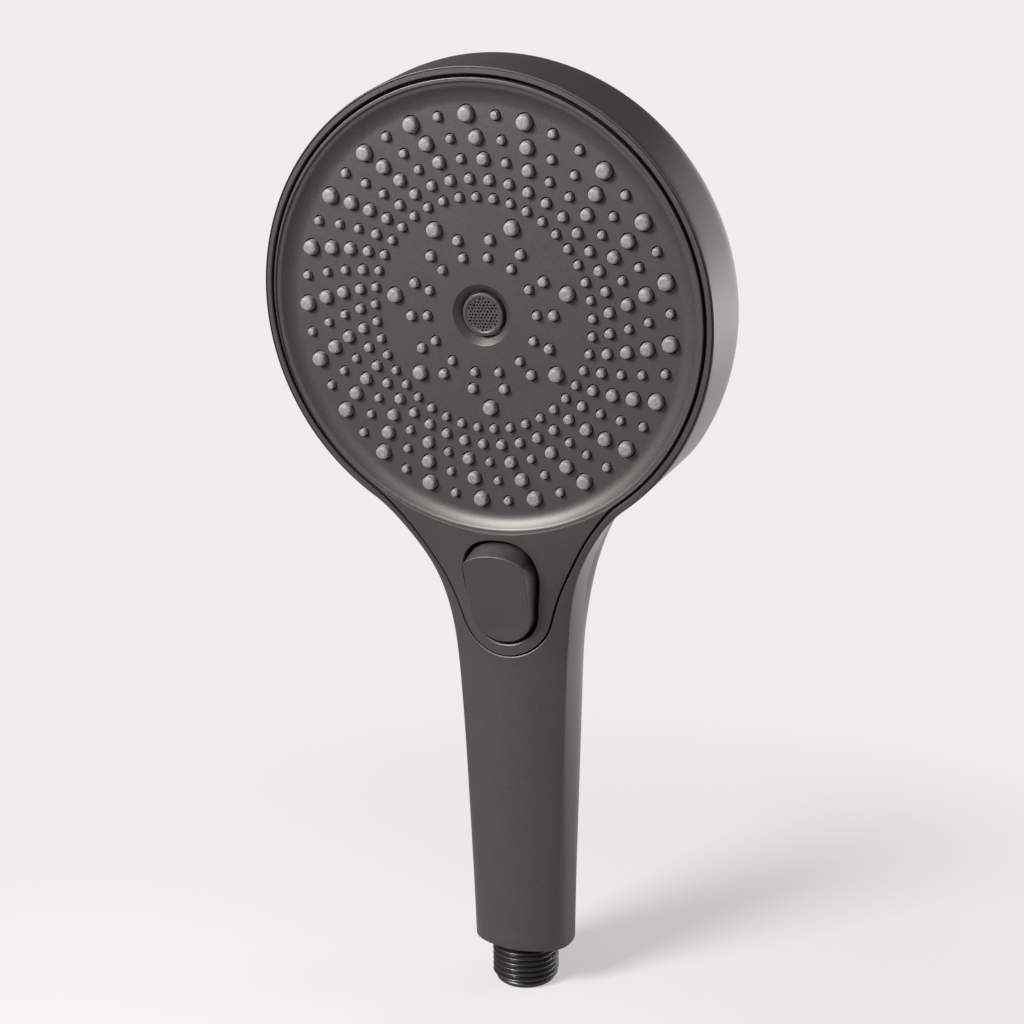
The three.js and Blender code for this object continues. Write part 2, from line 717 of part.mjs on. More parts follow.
// Wedge button: straight skirt, leaning flanks, sloping face; a lug for the pin and a rib
// that pushes the slide stand behind it.
function button() {
  const ROWS = 4;
  const SLICES = 28;
  const at = (u, v, target) => {
    const row = Math.round(v * ROWS);
    const [x, z] = buttonPoint(u % 1, BUTTON_GAP);
    if (row === 0) return target.set(0, BUTTON_BACK_DEPTH, BUTTON_TOP_V);
    if (row === 1) return target.set(x, BUTTON_BACK_DEPTH, z);
    if (row === 2) return target.set(x, 0.4, z);
    if (row === 3) {
      const proud = buttonProud(z);
      const [xi, zi] = buttonPoint(u % 1, BUTTON_GAP + BUTTON_DRAFT * proud);
      return target.set(xi, -buttonProud(zi), zi);
    }
    return target.set(0, -buttonProud(BUTTON_TOP_V), BUTTON_TOP_V);
  };
  const cap = solid(new ParametricGeometry(at, SLICES, ROWS));
  const lugDepth = PIVOT_DEPTH + LUG_HALF;
  const lugs = [-1, 1].map((side) =>
    sideBox(side, 2.4, 3.6, 2, lugDepth, PIVOT_V - LUG_HALF, PIVOT_V + LUG_HALF),
  );
  const rib = solid(box(-2, 2, 2, RIB_DEPTH, RIB_V - 1, RIB_V + 1));
  return joined([cap, ...lugs, rib]).subtract(solid(pinRod(PIN_RADIUS + PIN_PLAY, 30)));
}

// Rod on the button's hinge line.
function pinRod(radius, length) {
  const rod = new THREE.CylinderGeometry(radius, radius, length, 12);
  return rod.rotateZ(Math.PI / 2).translate(0, PIVOT_DEPTH, PIVOT_V);
}

// Frame under the panel: two rails, cross bars, ears for the pin, and a tail that ends in
// the seat of the slide's return spring.
const RAIL_FRONT = 8.6;
const RAIL_BACK = 10;
const RAIL_END_V = -98;
const RAIL_TOP_V = -67;
const BRACKET_SCREW_X = 9;
const BRACKET_SCREW_V = -68.5;
const SEAT_Z = 95.7;
const SLIDE_BASE_Z = 105;
const SLIDE_Y = -6.1;
const SLIDE_HALF_DEPTH = 1.2;
const RAMP_FOOT_Z = 138.2;
const SPRING_WIRE = 0.3; // radius of the wire of both springs

function bracket() {
  const sides = [-1, 1];
  const earFront = PIVOT_DEPTH - 1.5;
  const rails = sides.map((side) =>
    sideBox(side, 5, 8, RAIL_FRONT, RAIL_BACK, RAIL_END_V, RAIL_TOP_V),
  );
  const ears = sides.map((side) =>
    sideBox(side, 3.9, 5.6, earFront, RAIL_BACK, RAIL_END_V, RAIL_END_V + 5),
  );
  const top = solid(box(-8, 8, RAIL_FRONT, RAIL_BACK, RAIL_TOP_V - 2.2, RAIL_TOP_V));
  const frame = joined([...rails, ...ears, top]);
  const pinBore = solid(pinRod(PIN_RADIUS + PIN_PLAY, 30));
  const posts = sides.map((side) =>
    solid(plug(2.4, RAIL_FRONT, RAIL_BACK, BRACKET_SCREW_X * side, BRACKET_SCREW_V, 12)),
  );
  const holes = sides.map((side) =>
    solid(plug(1.4, 5, 12, BRACKET_SCREW_X * side, BRACKET_SCREW_V, 10)),
  );
  const shaped = frame.add(joined(posts)).subtract(joined([pinBore, ...holes]));
  const inPart = solid(geometryOf(shaped).applyMatrix4(faceMatrix));
  const tail = solid(box(-7.6, -5.2, -7.7, -4.2, SEAT_Z - 1.6, 119));
  const seat = solid(box(-7.6, 3, -8.4, -4.6, SEAT_Z - 1.6, SEAT_Z));
  return inPart.add(tail).add(seat);
}

// Slide that turns the button's press into a stroke down the handle, with a long arm up
// to the ratchet wheel.
function selectorSlide() {
  const front = SLIDE_Y - SLIDE_HALF_DEPTH;
  const back = SLIDE_Y + SLIDE_HALF_DEPTH;
  const rampTop = RAMP_FOOT_Z + 2 * SLIDE_HALF_DEPTH;
  const bar = solid(box(-2, 2, front, back, SLIDE_BASE_Z, rampTop));
  const foot = solid(box(0, 11.9, front, back, SLIDE_BASE_Z, SLIDE_BASE_Z + 4));
  const heel = solid(box(9.9, 11.9, SLIDE_Y, -1.6, SLIDE_BASE_Z, SLIDE_BASE_Z + 4));
  const arm = solid(box(9.9, 11.9, -3.4, -1.6, SLIDE_BASE_Z, 176));
  const wedge = new THREE.BoxGeometry(10, 8, 8).rotateX(Math.PI / 4);
  const rampCut = solid(wedge.translate(0, front, RAMP_FOOT_Z + 4 * Math.SQRT2));
  return joined([bar.subtract(rampCut), foot, heel, arm]);
}

// Pawl on the arm, just under the ratchet's teeth.
function pawl() {
  const blade = solid(box(6.8, 9.6, -4.1, -2.6, 168, 169.8));
  const grip = solid(box(9.2, 12.2, -5.2, -3.7, 165, 169.8));
  return blade.add(grip);
}

piece(face, "button", button(), "charcoal");
piece(face, "button_pin", pinRod(PIN_RADIUS, 10), "steel");
piece(part, "button_bracket", bracket(), "black");
[-1, 1].forEach((side, k) => {
  const fixing = screw(RAIL_BACK + 1.7, 6, BRACKET_SCREW_X * side, BRACKET_SCREW_V, 2.2, 1.1);
  piece(face, "bracket_screw_" + (k + 1), fixing, "steel");
});
piece(part, "selector_slide", selectorSlide(), "white");
piece(part, "pawl", pawl(), "steel");
const slideCoil = coil(1.3, SPRING_WIRE, SEAT_Z + 0.15, SLIDE_BASE_Z - 0.15, 5, 0, SLIDE_Y);
piece(part, "slide_spring", slideCoil, "steel");

// ---- Water tube and inlet ------------------------------------------------------------------

const TUBE_BASE_Z = 35;
const NIPPLE_TOP_Z = 40;
const CLIP_Z = SOCKET_FLOOR_Z + 0.4;
const NIPPLE_SEAL_Z = 24;

function waterTube() {
  const profile = [
    [TUBE_BORE, TUBE_BASE_Z],
    [TUBE_RADIUS, TUBE_BASE_Z],
    [TUBE_RADIUS, SOCKET_BASE_Z + 4],
    [TUBE_BORE, SOCKET_BASE_Z + 4],
    [TUBE_BORE, TUBE_BASE_Z],
  ];
  return upright(profile, 20);
}

// Threaded inlet: pipe thread with a plain run-out, a flange inside the handle and a socket
// for the water tube.
function inletNipple() {
  const root = THREAD_RADIUS - THREAD_DEPTH;
  const profile = [
    [NIPPLE_BORE, 0],
    [root, 0],
  ];
  for (let z = 0.9; z + THREAD_PITCH < HANDLE_END_Z - 1.4; z += THREAD_PITCH) {
    profile.push([root, z + 0.1], [THREAD_RADIUS, z + 0.45 * THREAD_PITCH]);
    profile.push([THREAD_RADIUS, z + 0.6 * THREAD_PITCH]);
  }
  const stem = NIPPLE_STEM_RADIUS;
  const groove = stem - 0.9;
  profile.push([root, HANDLE_END_Z - 0.3], [stem, HANDLE_END_Z - 0.3]);
  for (const z of [NIPPLE_SEAL_Z, CLIP_Z + 0.5]) {
    profile.push([stem, z - 0.8], [groove, z - 0.8], [groove, z + 0.8], [stem, z + 0.8]);
  }
  profile.push([stem, NIPPLE_TOP_Z], [TUBE_SOCKET_RADIUS, NIPPLE_TOP_Z]);
  profile.push([TUBE_SOCKET_RADIUS, TUBE_BASE_Z - 1], [NIPPLE_BORE, TUBE_BASE_Z - 3]);
  profile.push([NIPPLE_BORE, 0]);
  return upright(profile, 18);
}

// Open spring ring that holds the nipple behind the solid end of the handle.
function nippleClip() {
  const ring = solid(column(10, CLIP_Z, CLIP_Z + 1, 0, 0, 20));
  const bore = solid(column(NIPPLE_STEM_RADIUS - 0.6, CLIP_Z - 1, CLIP_Z + 2, 0, 0, 20));
  const slot = solid(box(-2, 2, 0, 12, CLIP_Z - 1, CLIP_Z + 2));
  return ring.subtract(bore).subtract(slot);
}

// Disc across the inlet bore with round holes.
function holedDisc(z0, z1, holeRadius, ringRadius, count) {
  const disc = solid(column(NIPPLE_BORE - GAP, z0, z1, 0, 0, 24));
  const holes = [];
  for (let k = 0; k < count; k += 1) {
    const a = (k * 2 * Math.PI) / count;
    const [x, y] = [ringRadius * Math.cos(a), ringRadius * Math.sin(a)];
    holes.push(solid(column(holeRadius, z0 - 1, z1 + 1, x, y, 6)));
  }
  return disc.subtract(joined(holes));
}

function valveSeat() {
  const profile = [
    [3.4, 8],
    [NIPPLE_BORE - GAP, 8],
    [NIPPLE_BORE - GAP, 10.4],
    [4.2, 10.4],
    [3.4, 9.6],
    [3.4, 8],
  ];
  return upright(profile, 20);
}

function valvePoppet() {
  const profile = [
    [0, 9],
    [2.4, 9],
    [2.4, 10.7],
    [4.9, 10.7],
    [4.9, 12.1],
    [1.2, 12.1],
    [1.2, 21],
    [0, 21],
  ];
  return upright(profile, 16);
}

const CAGE_BASE_Z = 19.4;

function valveCage() {
  const guide = solid(column(1.5, CAGE_BASE_Z - 1, CAGE_BASE_Z + 3, 0, 0, 12));
  return holedDisc(CAGE_BASE_Z, CAGE_BASE_Z + 2, 1.5, 4.6, 6).subtract(guide);
}

piece(part, "water_tube", waterTube(), "white");
piece(part, "tube_seal_upper", sealRing(TUBE_RADIUS + 0.75, 0.5, SOCKET_BASE_Z + 2), "rubber");
piece(part, "tube_seal_lower", sealRing(TUBE_RADIUS + 0.75, 0.5, NIPPLE_TOP_Z - 2), "rubber");
piece(part, "inlet_nipple", inletNipple(), "black");
piece(part, "nipple_seal", sealRing(NIPPLE_STEM_RADIUS - 0.3, 0.45, NIPPLE_SEAL_Z), "rubber");
piece(part, "nipple_clip", nippleClip(), "steel");
piece(part, "inlet_filter", holedDisc(1.4, 2.4, 1.1, 4.4, 8), "steel");
piece(part, "flow_limiter", holedDisc(3.2, 6.4, 0.9, 3.4, 6), "blue");
piece(part, "valve_seat", valveSeat(), "white");
piece(part, "valve_poppet", valvePoppet(), "blue");
const valveCoil = coil(2.2, SPRING_WIRE, 12.25, CAGE_BASE_Z - 0.15, 4, 0, 0);
piece(part, "valve_spring", valveCoil, "steel");
piece(part, "valve_cage", valveCage(), "white");

export default part;
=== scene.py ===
import json
import math

import bpy
from mathutils import Matrix, Vector


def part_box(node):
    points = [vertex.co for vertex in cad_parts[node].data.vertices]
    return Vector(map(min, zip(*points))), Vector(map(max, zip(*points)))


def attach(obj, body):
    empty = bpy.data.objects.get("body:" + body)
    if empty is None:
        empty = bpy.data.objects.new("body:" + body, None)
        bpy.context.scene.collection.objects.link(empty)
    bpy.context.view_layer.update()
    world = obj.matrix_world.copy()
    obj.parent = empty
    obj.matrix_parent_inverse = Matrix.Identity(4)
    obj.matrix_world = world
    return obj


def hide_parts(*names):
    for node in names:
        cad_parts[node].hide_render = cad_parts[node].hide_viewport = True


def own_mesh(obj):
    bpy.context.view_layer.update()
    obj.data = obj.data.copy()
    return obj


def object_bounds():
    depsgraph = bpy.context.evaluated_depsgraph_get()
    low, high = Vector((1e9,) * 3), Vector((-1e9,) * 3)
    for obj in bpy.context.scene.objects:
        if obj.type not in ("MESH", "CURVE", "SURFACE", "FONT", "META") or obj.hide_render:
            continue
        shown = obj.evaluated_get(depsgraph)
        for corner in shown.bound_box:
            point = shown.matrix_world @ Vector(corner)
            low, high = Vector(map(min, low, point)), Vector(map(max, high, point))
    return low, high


bl_info = {
    "name": "Handheld shower head",
    "version": (1, 0, 0),
    "blender": (4, 5, 0),
    "location": "3D View > Sidebar > Shower head",
    "description": "Builds the finished pieces of a handheld shower head over its frame",
    "category": "Object",
}

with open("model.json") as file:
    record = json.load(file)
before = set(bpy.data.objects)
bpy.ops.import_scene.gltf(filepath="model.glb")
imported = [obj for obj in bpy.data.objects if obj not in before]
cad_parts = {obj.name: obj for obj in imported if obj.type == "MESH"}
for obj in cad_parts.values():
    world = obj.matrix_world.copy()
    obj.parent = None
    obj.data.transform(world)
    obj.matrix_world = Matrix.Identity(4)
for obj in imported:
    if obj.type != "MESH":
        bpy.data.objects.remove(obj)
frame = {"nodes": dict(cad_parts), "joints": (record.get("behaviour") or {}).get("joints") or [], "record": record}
CAD_LOW, CAD_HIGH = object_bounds()

# ---- Places from the frame -------------------------------------------------------------------
# Sizes below are millimetres; meshes are made in metres.

MM = 0.001
JOINTS = {j["name"]: j for j in frame["joints"]}
DEPTH_WAY = Vector(JOINTS["selector_turn"]["axis"]).normalized()  # into the head, from the front
UP_WAY = Vector((0, -DEPTH_WAY.z, DEPTH_WAY.y))  # up along the spray face
INSERT_MIDDLE_DEPTH = 5.3
_insert_low, _insert_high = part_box("mist_insert")
FACE_CENTRE = (_insert_low + _insert_high) / 2 / MM - DEPTH_WAY * INSERT_MIDDLE_DEPTH
FACE_CENTRE.x = 0.0
PLANE_LEAN = -DEPTH_WAY.z / DEPTH_WAY.y  # dy/dz of the front plane
HANDLE_END_DROP = 0.5  # the rounded rim of the handle's end reaches a little lower
HANDLE_END_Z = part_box("rear_shell")[0].z / MM - HANDLE_END_DROP
PIVOT = Vector(JOINTS["button_press"]["pos_m"]) / MM

# Spray head, in the face's own frame: depth goes in from the front plane, v up the face.
RIM_RADIUS = 66.75
HEAD_RADIUS = 68.5
WIDEST_DEPTH = 17.3
BACK_FILLET = 8.0
FLARE_CURVE = 1.1  # 1 for a straight side, more for one that bends as it widens
BACK_DOME = 1.6
HEAD_DEPTH = WIDEST_DEPTH + BACK_FILLET + BACK_DOME
OPENING_RADIUS = 64.3
DISH_DEPTH = 3.0
DISH_MIDDLE_V = -0.6  # the dish sits a little low in the head
PLATE_BACK = 5.2
FUNNEL_DEG = -53.5  # where the round rim runs out into the neck
RIM_STEPS = 72
PANEL_SIDE = ((-86, 16), (-79, 18.9), (-72, 22.6), (-64.6, 27), (-57.2, 32.6))  # (v, x)
PANEL_SIDE_STEPS = 34
TONGUE_STEPS = 24
TONGUE_END_V = -88.3
TONGUE_END_RADIUS = 14.6
TONGUE_END_DEG = -17.0
BUTTON_TOP_V = -78.3
BUTTON_TOP_RADIUS = 11.95
BUTTON_TOP_STRETCH = 1.03
BUTTON_SQUARENESS = 2.45
BUTTON_END_V = -88.5
BUTTON_END_RADIUS = 10.65
BUTTON_MIDDLE_V = -83.0
BUTTON_SKIRT_INSET = 1.05
OUTLINE_STEPS = 60
FACE_TOP_V = -69.2  # the button's raised face: arched top edge, small corners, round end
FACE_HALF_WIDTH = 9.5
FACE_ARCH = 2.6
FACE_CORNER = 2.2
FACE_END_RADIUS = 9.55
THUMB_V = -92.6
THUMB_HALF_WIDTH = 5.2
THUMB_HALF_LENGTH = 3.9
LUG_START = 2.2
LUG_INNER = 2.4
LUG_OUTER = 3.6
LUG_RADIUS = 1.8
PIN_BORE_RADIUS = 0.95
INSERT_HOLE_RADIUS = 6.7

# Front plate and its joint with the shell. JOINT_MIDDLE and the two values after it move the
# keyhole outline; the rest are sizes of the edge and the thickness.
JOINT_MIDDLE = 0.35
ROUND_THE_HEAD = 0.2
PLATE_ROUND_THE_HEAD = -0.12
PANEL_CHAMFER = 0.25
PLATE_ROUNDING = 0.28
PLATE_THIN = 3.0
PLATE_THICKENS_Z = (143.0, 148.0)

# Edge of the spray dish from the front inwards, as (radius, depth), and the cove below it.
DISH_EDGE = ((63.55, -3), (63.52, -0.05), (63.46, 0.04), (63.36, 0.14), (63.28, 0.28),
             (63.24, 0.42), (63.1, 0.5), (62.45, 0.52), (62.25, 0.56), (62.1, 0.64))
COVE_FOOT = 57.3
COVE_TOP = 61.95
COVE_RISE = 2.3
COVE_STEPS = 15

# Recess round the mesh insert and the insert itself, as (radius, depth).
RECESS = ((0, 1.5), (10.2, 1.5), (8.85, 2.9), (8.6, 3.08), (INSERT_HOLE_RADIUS + 0.1, 4.75),
          (INSERT_HOLE_RADIUS, 4.85), (INSERT_HOLE_RADIUS, 7), (0, 7))
INSERT = ((0, 3.95), (4.75, 3.95), (4.95, 3.9), (5.15, 3.72), (5.75, 3.7), (5.95, 3.78),
          (6.05, 3.95), (6.05, 7.1), (3.4, 7.1), (3.4, 4.9), (0, 4.9))
MESH_RADIUS = 4.45
MESH_HOLE_RADIUS = 0.3
MESH_ROWS = 6

# Fine groove round the head's rim.
GROOVE_OUTER = 66.5
GROOVE_INNER = 66.0
GROOVE_DEPTH = 0.42
GROOVE_STEPS = 220
GROOVE_FADE_STEPS = 12

# Nozzle rings: (radius, wide, narrow) for the outer rows, (radius, width, number for each fold)
# for the inner ones.
NOZZLE_ROWS = 41
FIRST_ROW_DEG = 1.7
ROW_LAG_DEG = 2.7
PLAIN_ROWS = 7  # the order of wide and narrow rows changes over after these
OUTER_RINGS = ((54.3, 4.9, 2.7), (48.2, 4.3, 2.6), (42.7, 3.8, 2.6), (37.4, 3.2, 3.0),
               (32.6, 2.7, 2.6))
INNER_FOLD = 7
INNER_FIRST_DEG = 14.0
INNER_RINGS = ((26.5, 4.7, 1), (21.4, 3.1, 2), (16.5, 2.7, 2))

# Nozzle of unit radius and height over the floor of the dish, as (radius, height).
NOZZLE = ((0, -0.4), (1.0, -0.4), (0.99, 0.3), (0.95, 0.6), (0.87, 0.82), (0.72, 0.95),
          (0.45, 1.0), (0, 1.0))
MAT_INNER_RADIUS = 6.7
MAT_OUTER_RADIUS = 59.5
NOZZLE_VISIBLE = 0.9  # width of a finished nozzle as a share of the width in the tables

# Neck and handle by height: crease half width, crease y, front y, bulge past the crease, back y.
CREASE_X = ((17.5, 14.2), (30, 14.4), (60, 15.2), (100, 17.1), (110, 17.8), (118, 18.7),
            (127, 20.2), (135, 22.6), (142, 26.0), (149, 30.6), (158.5, 39.7))
CREASE_Y = ((17.5, -7.2), (30, -7.4), (60, -7.6), (100, -8.0), (110, -8.4), (118, -9.1),
            (127, -10.8), (135, -12.8), (142, -15.0), (149, -17.4), (158.5, -20.5))
FRONT_Y = ((17.5, -11.8), (30, -11.6), (60, -11.7), (100, -12.4), (110, -12.85), (118, -14.02))
BULGE = ((17.5, 1.6), (30, 1.7), (60, 1.9), (100, 1.4), (118, 1.0), (149, 0.8), (165, 0.8))
BACK_Y = ((17.5, 15.8), (30, 16.1), (60, 17.1), (100, 18.5), (110, 18.8), (118, 19.0), (127, 18.8),
          (135, 18.0), (142, 16.9), (149, 15.5), (155, 14.0), (165, 11.4), (176, 7.8), (188, 3.4),
          (200, 0.45), (208, -1.2), (215.75, -2.44))
END_EDGE_RADIUS = 0.45
END_EDGE_STEPS = 5
HANDLE_AXIS_Y = 0.5
FUNNEL_SLOPE = 1.37  # dx/dz of the crease where it leaves the round rim
SPREAD_Z = (120, 184)  # rows fan out towards the head's middle over these heights
ROUND_Z = (118, 176)  # the handle's oval turns into the head's flat back
SHARP_Z = (15, 112)  # the crease rounding shrinks upwards
RIDGE_FLAT_Z = 188
RIDGE_FLAT_Y = 3.4
LEAST_HALF_WIDTH = 8.0
SIDE_PART = 0.35  # shares of the head's profile: side, then back fillet, then flat back
FILLET_PART = 0.25

# Hose inlet; THREAD_STEPS is for one turn's height, THREAD_AROUND for one turn round.
BORE_RADIUS = 7.0
BARREL_RADIUS = 8.9
SEAL_GROOVE_RADIUS = 8.0
THREAD_LOW = 0.5
THREAD_AROUND = 96
THREAD_STEPS = 16

# Springs: node, turns, coil radius, joint that shortens it, whether its lower end is the fixed one.
SPRINGS = (("slide_spring", 5, 1.3, "slide_stroke", True),
           ("valve_spring", 4, 2.2, "check_valve_lift", False))
SPRING_WIRE = 0.3


# ---- Curves and outlines ---------------------------------------------------------------------


def smooth_curve(knots, start=None, end=None):
    """Smooth curve through (place, value) knots; start and end are its end slopes, if given."""
    xs, ys = [k[0] for k in knots], [k[1] for k in knots]
    n = len(xs)
    gaps = [b - a for a, b in zip(xs, xs[1:])]
    rises = [(b - a) / g for a, b, g in zip(ys, ys[1:], gaps)]
    low, mid, high, right = [0.0] * n, [1.0] * n, [0.0] * n, [0.0] * n
    for i in range(1, n - 1):
        low[i], mid[i], high[i] = gaps[i - 1], 2 * (gaps[i - 1] + gaps[i]), gaps[i]
        right[i] = 6 * (rises[i] - rises[i - 1])
    if start is not None:
        mid[0], high[0], right[0] = 2 * gaps[0], gaps[0], 6 * (rises[0] - start)
    if end is not None:
        low[-1], mid[-1], right[-1] = gaps[-1], 2 * gaps[-1], 6 * (end - rises[-1])
    for i in range(1, n):
        share = low[i] / mid[i - 1]
        mid[i] -= share * high[i - 1]
        right[i] -= share * right[i - 1]
    bend = [0.0] * n
    bend[-1] = right[-1] / mid[-1]
    for i in range(n - 2, -1, -1):
        bend[i] = (right[i] - high[i] * bend[i + 1]) / mid[i]

    def value(x):
        if x <= xs[0]:
            slope = rises[0] - gaps[0] * (2 * bend[0] + bend[1]) / 6
            return ys[0] + slope * (x - xs[0])
        if x >= xs[-1]:
            slope = rises[-1] + gaps[-1] * (bend[-2] + 2 * bend[-1]) / 6
            return ys[-1] + slope * (x - xs[-1])
        i = max(k for k in range(n - 1) if xs[k] <= x)
        g, a, b = gaps[i], xs[i + 1] - x, x - xs[i]
        return (
            (bend[i] * a**3 + bend[i + 1] * b**3) / (6 * g)
            + (ys[i] / g - bend[i] * g / 6) * a
            + (ys[i + 1] / g - bend[i + 1] * g / 6) * b
        )

    return value


crease_x = smooth_curve(CREASE_X, end=FUNNEL_SLOPE)
crease_y = smooth_curve(CREASE_Y)
front_low_y = smooth_curve(FRONT_Y, end=PLANE_LEAN)
bulge_at = smooth_curve(BULGE)
ridge_y = smooth_curve(BACK_Y, end=PLANE_LEAN)


def at_face(x, depth, v):
    """Point of the face's frame in the part's frame."""
    return FACE_CENTRE + Vector((x, 0, 0)) + DEPTH_WAY * depth + UP_WAY * v


FUNNEL_Z = at_face(0, 0, RIM_RADIUS * math.sin(math.radians(FUNNEL_DEG))).z
TONGUE_Z = FRONT_Y[-1][0]


def plane_y(z):
    return FACE_CENTRE.y + PLANE_LEAN * (z - FACE_CENTRE.z)


def front_y(x, z):
    """The front surface: the flat plane of the head, crowned between the creases below it."""
    if z >= FUNNEL_Z:
        return plane_y(z)
    middle = plane_y(z) if z > TONGUE_Z else front_low_y(z)
    return middle + (crease_y(z) - middle) * (x / crease_x(z)) ** 2


def ease(low, high, value):
    t = min(max((value - low) / (high - low), 0.0), 1.0)
    return t * t * (3 - 2 * t)


def length_marks(points):
    """Distance along a line of points, at each of them."""
    marks = [0.0]
    for a, b in zip(points, points[1:]):
        marks.append(marks[-1] + (b - a).length)
    return marks


def along(points, marks, distance):
    """Point of the line at that distance from its start."""
    if distance <= 0:
        return points[0].copy()
    for i in range(1, len(points)):
        if marks[i] >= distance:
            share = (distance - marks[i - 1]) / max(marks[i] - marks[i - 1], 1e-9)
            return points[i - 1].lerp(points[i], share)
    return points[-1].copy()


FRONT_MARKS = (0, 0.16, 0.32, 0.47, 0.6, 0.71, 0.8, 0.87, 0.92, 0.955, 0.98, 1)
SIDE_MARKS = (0, 0.03, 0.06, 0.09, 0.12, 0.15, 0.175, 0.195, 0.215, 0.235, 0.255, 0.275, 0.295,
              0.315, 0.34, 0.37, 0.41, 0.46, 0.52, 0.58, 0.65, 0.72, 0.79, 0.86, 0.93, 1)
CORNER_STEPS = 5
SOFT_LOW_Z = (114, 124)  # the softened part of the back fades in and out over these heights
SOFT_HIGH_Z = (190, 204)
SOFT_FROM_MARK = 8
SOFT_FADE_MARKS = 6
SOFT_PASSES = 110


def section(front, side, rounding):
    """One row from the front middle line over a rounded edge to the back middle line."""
    f_marks, s_marks = length_marks(front), length_marks(side)
    f_length, s_length = f_marks[-1] - rounding, s_marks[-1] - rounding
    row = [along(front, f_marks, f_length * m) for m in FRONT_MARKS]
    edge = front[-1]
    a, b = row[-1], along(side, s_marks, rounding)
    for i in range(1, CORNER_STEPS):
        t = i / CORNER_STEPS
        row.append(a * (1 - t) ** 2 + edge * (2 * t * (1 - t)) + b * t**2)
    row += [along(side, s_marks, rounding + s_length * m) for m in SIDE_MARKS]
    return row


def skeleton_z(z, top):
    """Height on the middle line where the row that starts at height z ends."""
    return z + (top - z) * ease(*SPREAD_Z, z)


def front_line(edge, count=30):
    """Line over the front surface from the middle line to a point of the outline."""
    start_z = skeleton_z(edge.z, FACE_CENTRE.z)
    points = []
    for i in range(count + 1):
        x = edge.x * i / count
        z = start_z + (edge.z - start_z) * i / count
        points.append(Vector((x, front_y(x, z), z)))
    points[-1] = edge.copy()
    return points


def head_profile(t):
    """Side and back of the head as (share inwards, share of the depth)."""
    back_part = SIDE_PART + FILLET_PART
    if t < SIDE_PART:
        depth = WIDEST_DEPTH * t / SIDE_PART
        flare = (1 - depth / WIDEST_DEPTH) ** FLARE_CURVE
        radius = HEAD_RADIUS - (HEAD_RADIUS - RIM_RADIUS) * flare
    elif t < back_part:
        a = (t - SIDE_PART) / FILLET_PART * math.pi / 2
        radius = HEAD_RADIUS - BACK_FILLET * (1 - math.cos(a))
        depth = WIDEST_DEPTH + BACK_FILLET * math.sin(a)
    else:
        edge = HEAD_RADIUS - BACK_FILLET
        radius = edge * (1 - (t - back_part) / (1 - back_part))
        depth = HEAD_DEPTH - BACK_DOME * (radius / edge) ** 2
    return 1 - radius / RIM_RADIUS, depth / HEAD_DEPTH


def handle_profile(t, half_width, bulge, middle_share):
    """Side and back of the handle as (share inwards, share of the depth): an oval."""
    start = -math.acos(half_width / (half_width + bulge))
    a = start + (math.pi / 2 - start) * t
    inwards = 1 - (1 + bulge / half_width) * math.cos(a)
    front_part = middle_share / math.sin(-start)
    depth = middle_share + (front_part if a < 0 else 1 - middle_share) * math.sin(a)
    return inwards, depth


def side_line(edge, count=80):
    """Line from a point of the outline over the side and back to the back middle line."""
    end_z = skeleton_z(edge.z, BACK_Y[-1][0])
    end = Vector((0, ridge_y(end_z), end_z))
    lean = (ridge_y(end_z + 0.2) - ridge_y(end_z - 0.2)) / 0.4
    if end_z >= BACK_Y[-1][0] - 1e-6:
        end, lean = at_face(0, HEAD_DEPTH, 0), PLANE_LEAN
    depth_way = Vector((0, 1, -lean)).normalized()
    depth = (end - edge).dot(depth_way)
    inwards = (end - edge) - depth_way * depth
    roundness = 1 - ease(*ROUND_Z, edge.z)
    half_width = max(edge.x, LEAST_HALF_WIDTH)
    back = ridge_y(edge.z) if edge.z < RIDGE_FLAT_Z else RIDGE_FLAT_Y
    middle = (min(0.0, back - 6) - edge.y) / max(back - edge.y, 1.0)
    points = []
    for i in range(count + 1):
        t = i / count
        g, h = head_profile(t)
        if roundness > 0:
            g2, h2 = handle_profile(t, half_width, bulge_at(edge.z), middle)
            g, h = g + (g2 - g) * roundness, h + (h2 - h) * roundness
        points.append(edge + inwards * g + depth_way * (depth * h))
    return points


def soften_back(rows):
    """Eases the crease where the head's flat back runs into the round neck."""
    first = len(FRONT_MARKS) + CORNER_STEPS + SOFT_FROM_MARK
    weights = []
    for row in rows:
        edge_z = row[len(FRONT_MARKS) - 1].z
        near = ease(*SOFT_LOW_Z, row[0].z) * (1 - ease(*SOFT_HIGH_Z, edge_z))
        weights.append([0.5 * near * ease(first - 1, first + SOFT_FADE_MARKS, j)
                        for j in range(len(row))])
    for _ in range(SOFT_PASSES):
        before = [[p.copy() for p in row] for row in rows]
        for i in range(1, len(rows) - 1):
            for j in range(first, len(rows[i])):
                middle = (before[i - 1][j] + before[i + 1][j]) / 2
                rows[i][j] = before[i][j].lerp(middle, weights[i][j])


def shell_edge():
    """Front outline of the shell, from the top of the head down its right side."""
    points = []
    for i in range(RIM_STEPS + 1):
        a = math.radians(90 + (FUNNEL_DEG - 90) * i / RIM_STEPS)
        points.append(at_face(RIM_RADIUS * math.cos(a), 0, RIM_RADIUS * math.sin(a)))
    points[0].x = 0
    z = FUNNEL_Z
    end_z = HANDLE_END_Z + END_EDGE_RADIUS
    while z > end_z + 0.5:
        z -= 0.8 if z > 156 else 1.3 if z > 108 else 3.0
        z = max(z, end_z)
        points.append(Vector((crease_x(z), crease_y(z), z)))
    return points


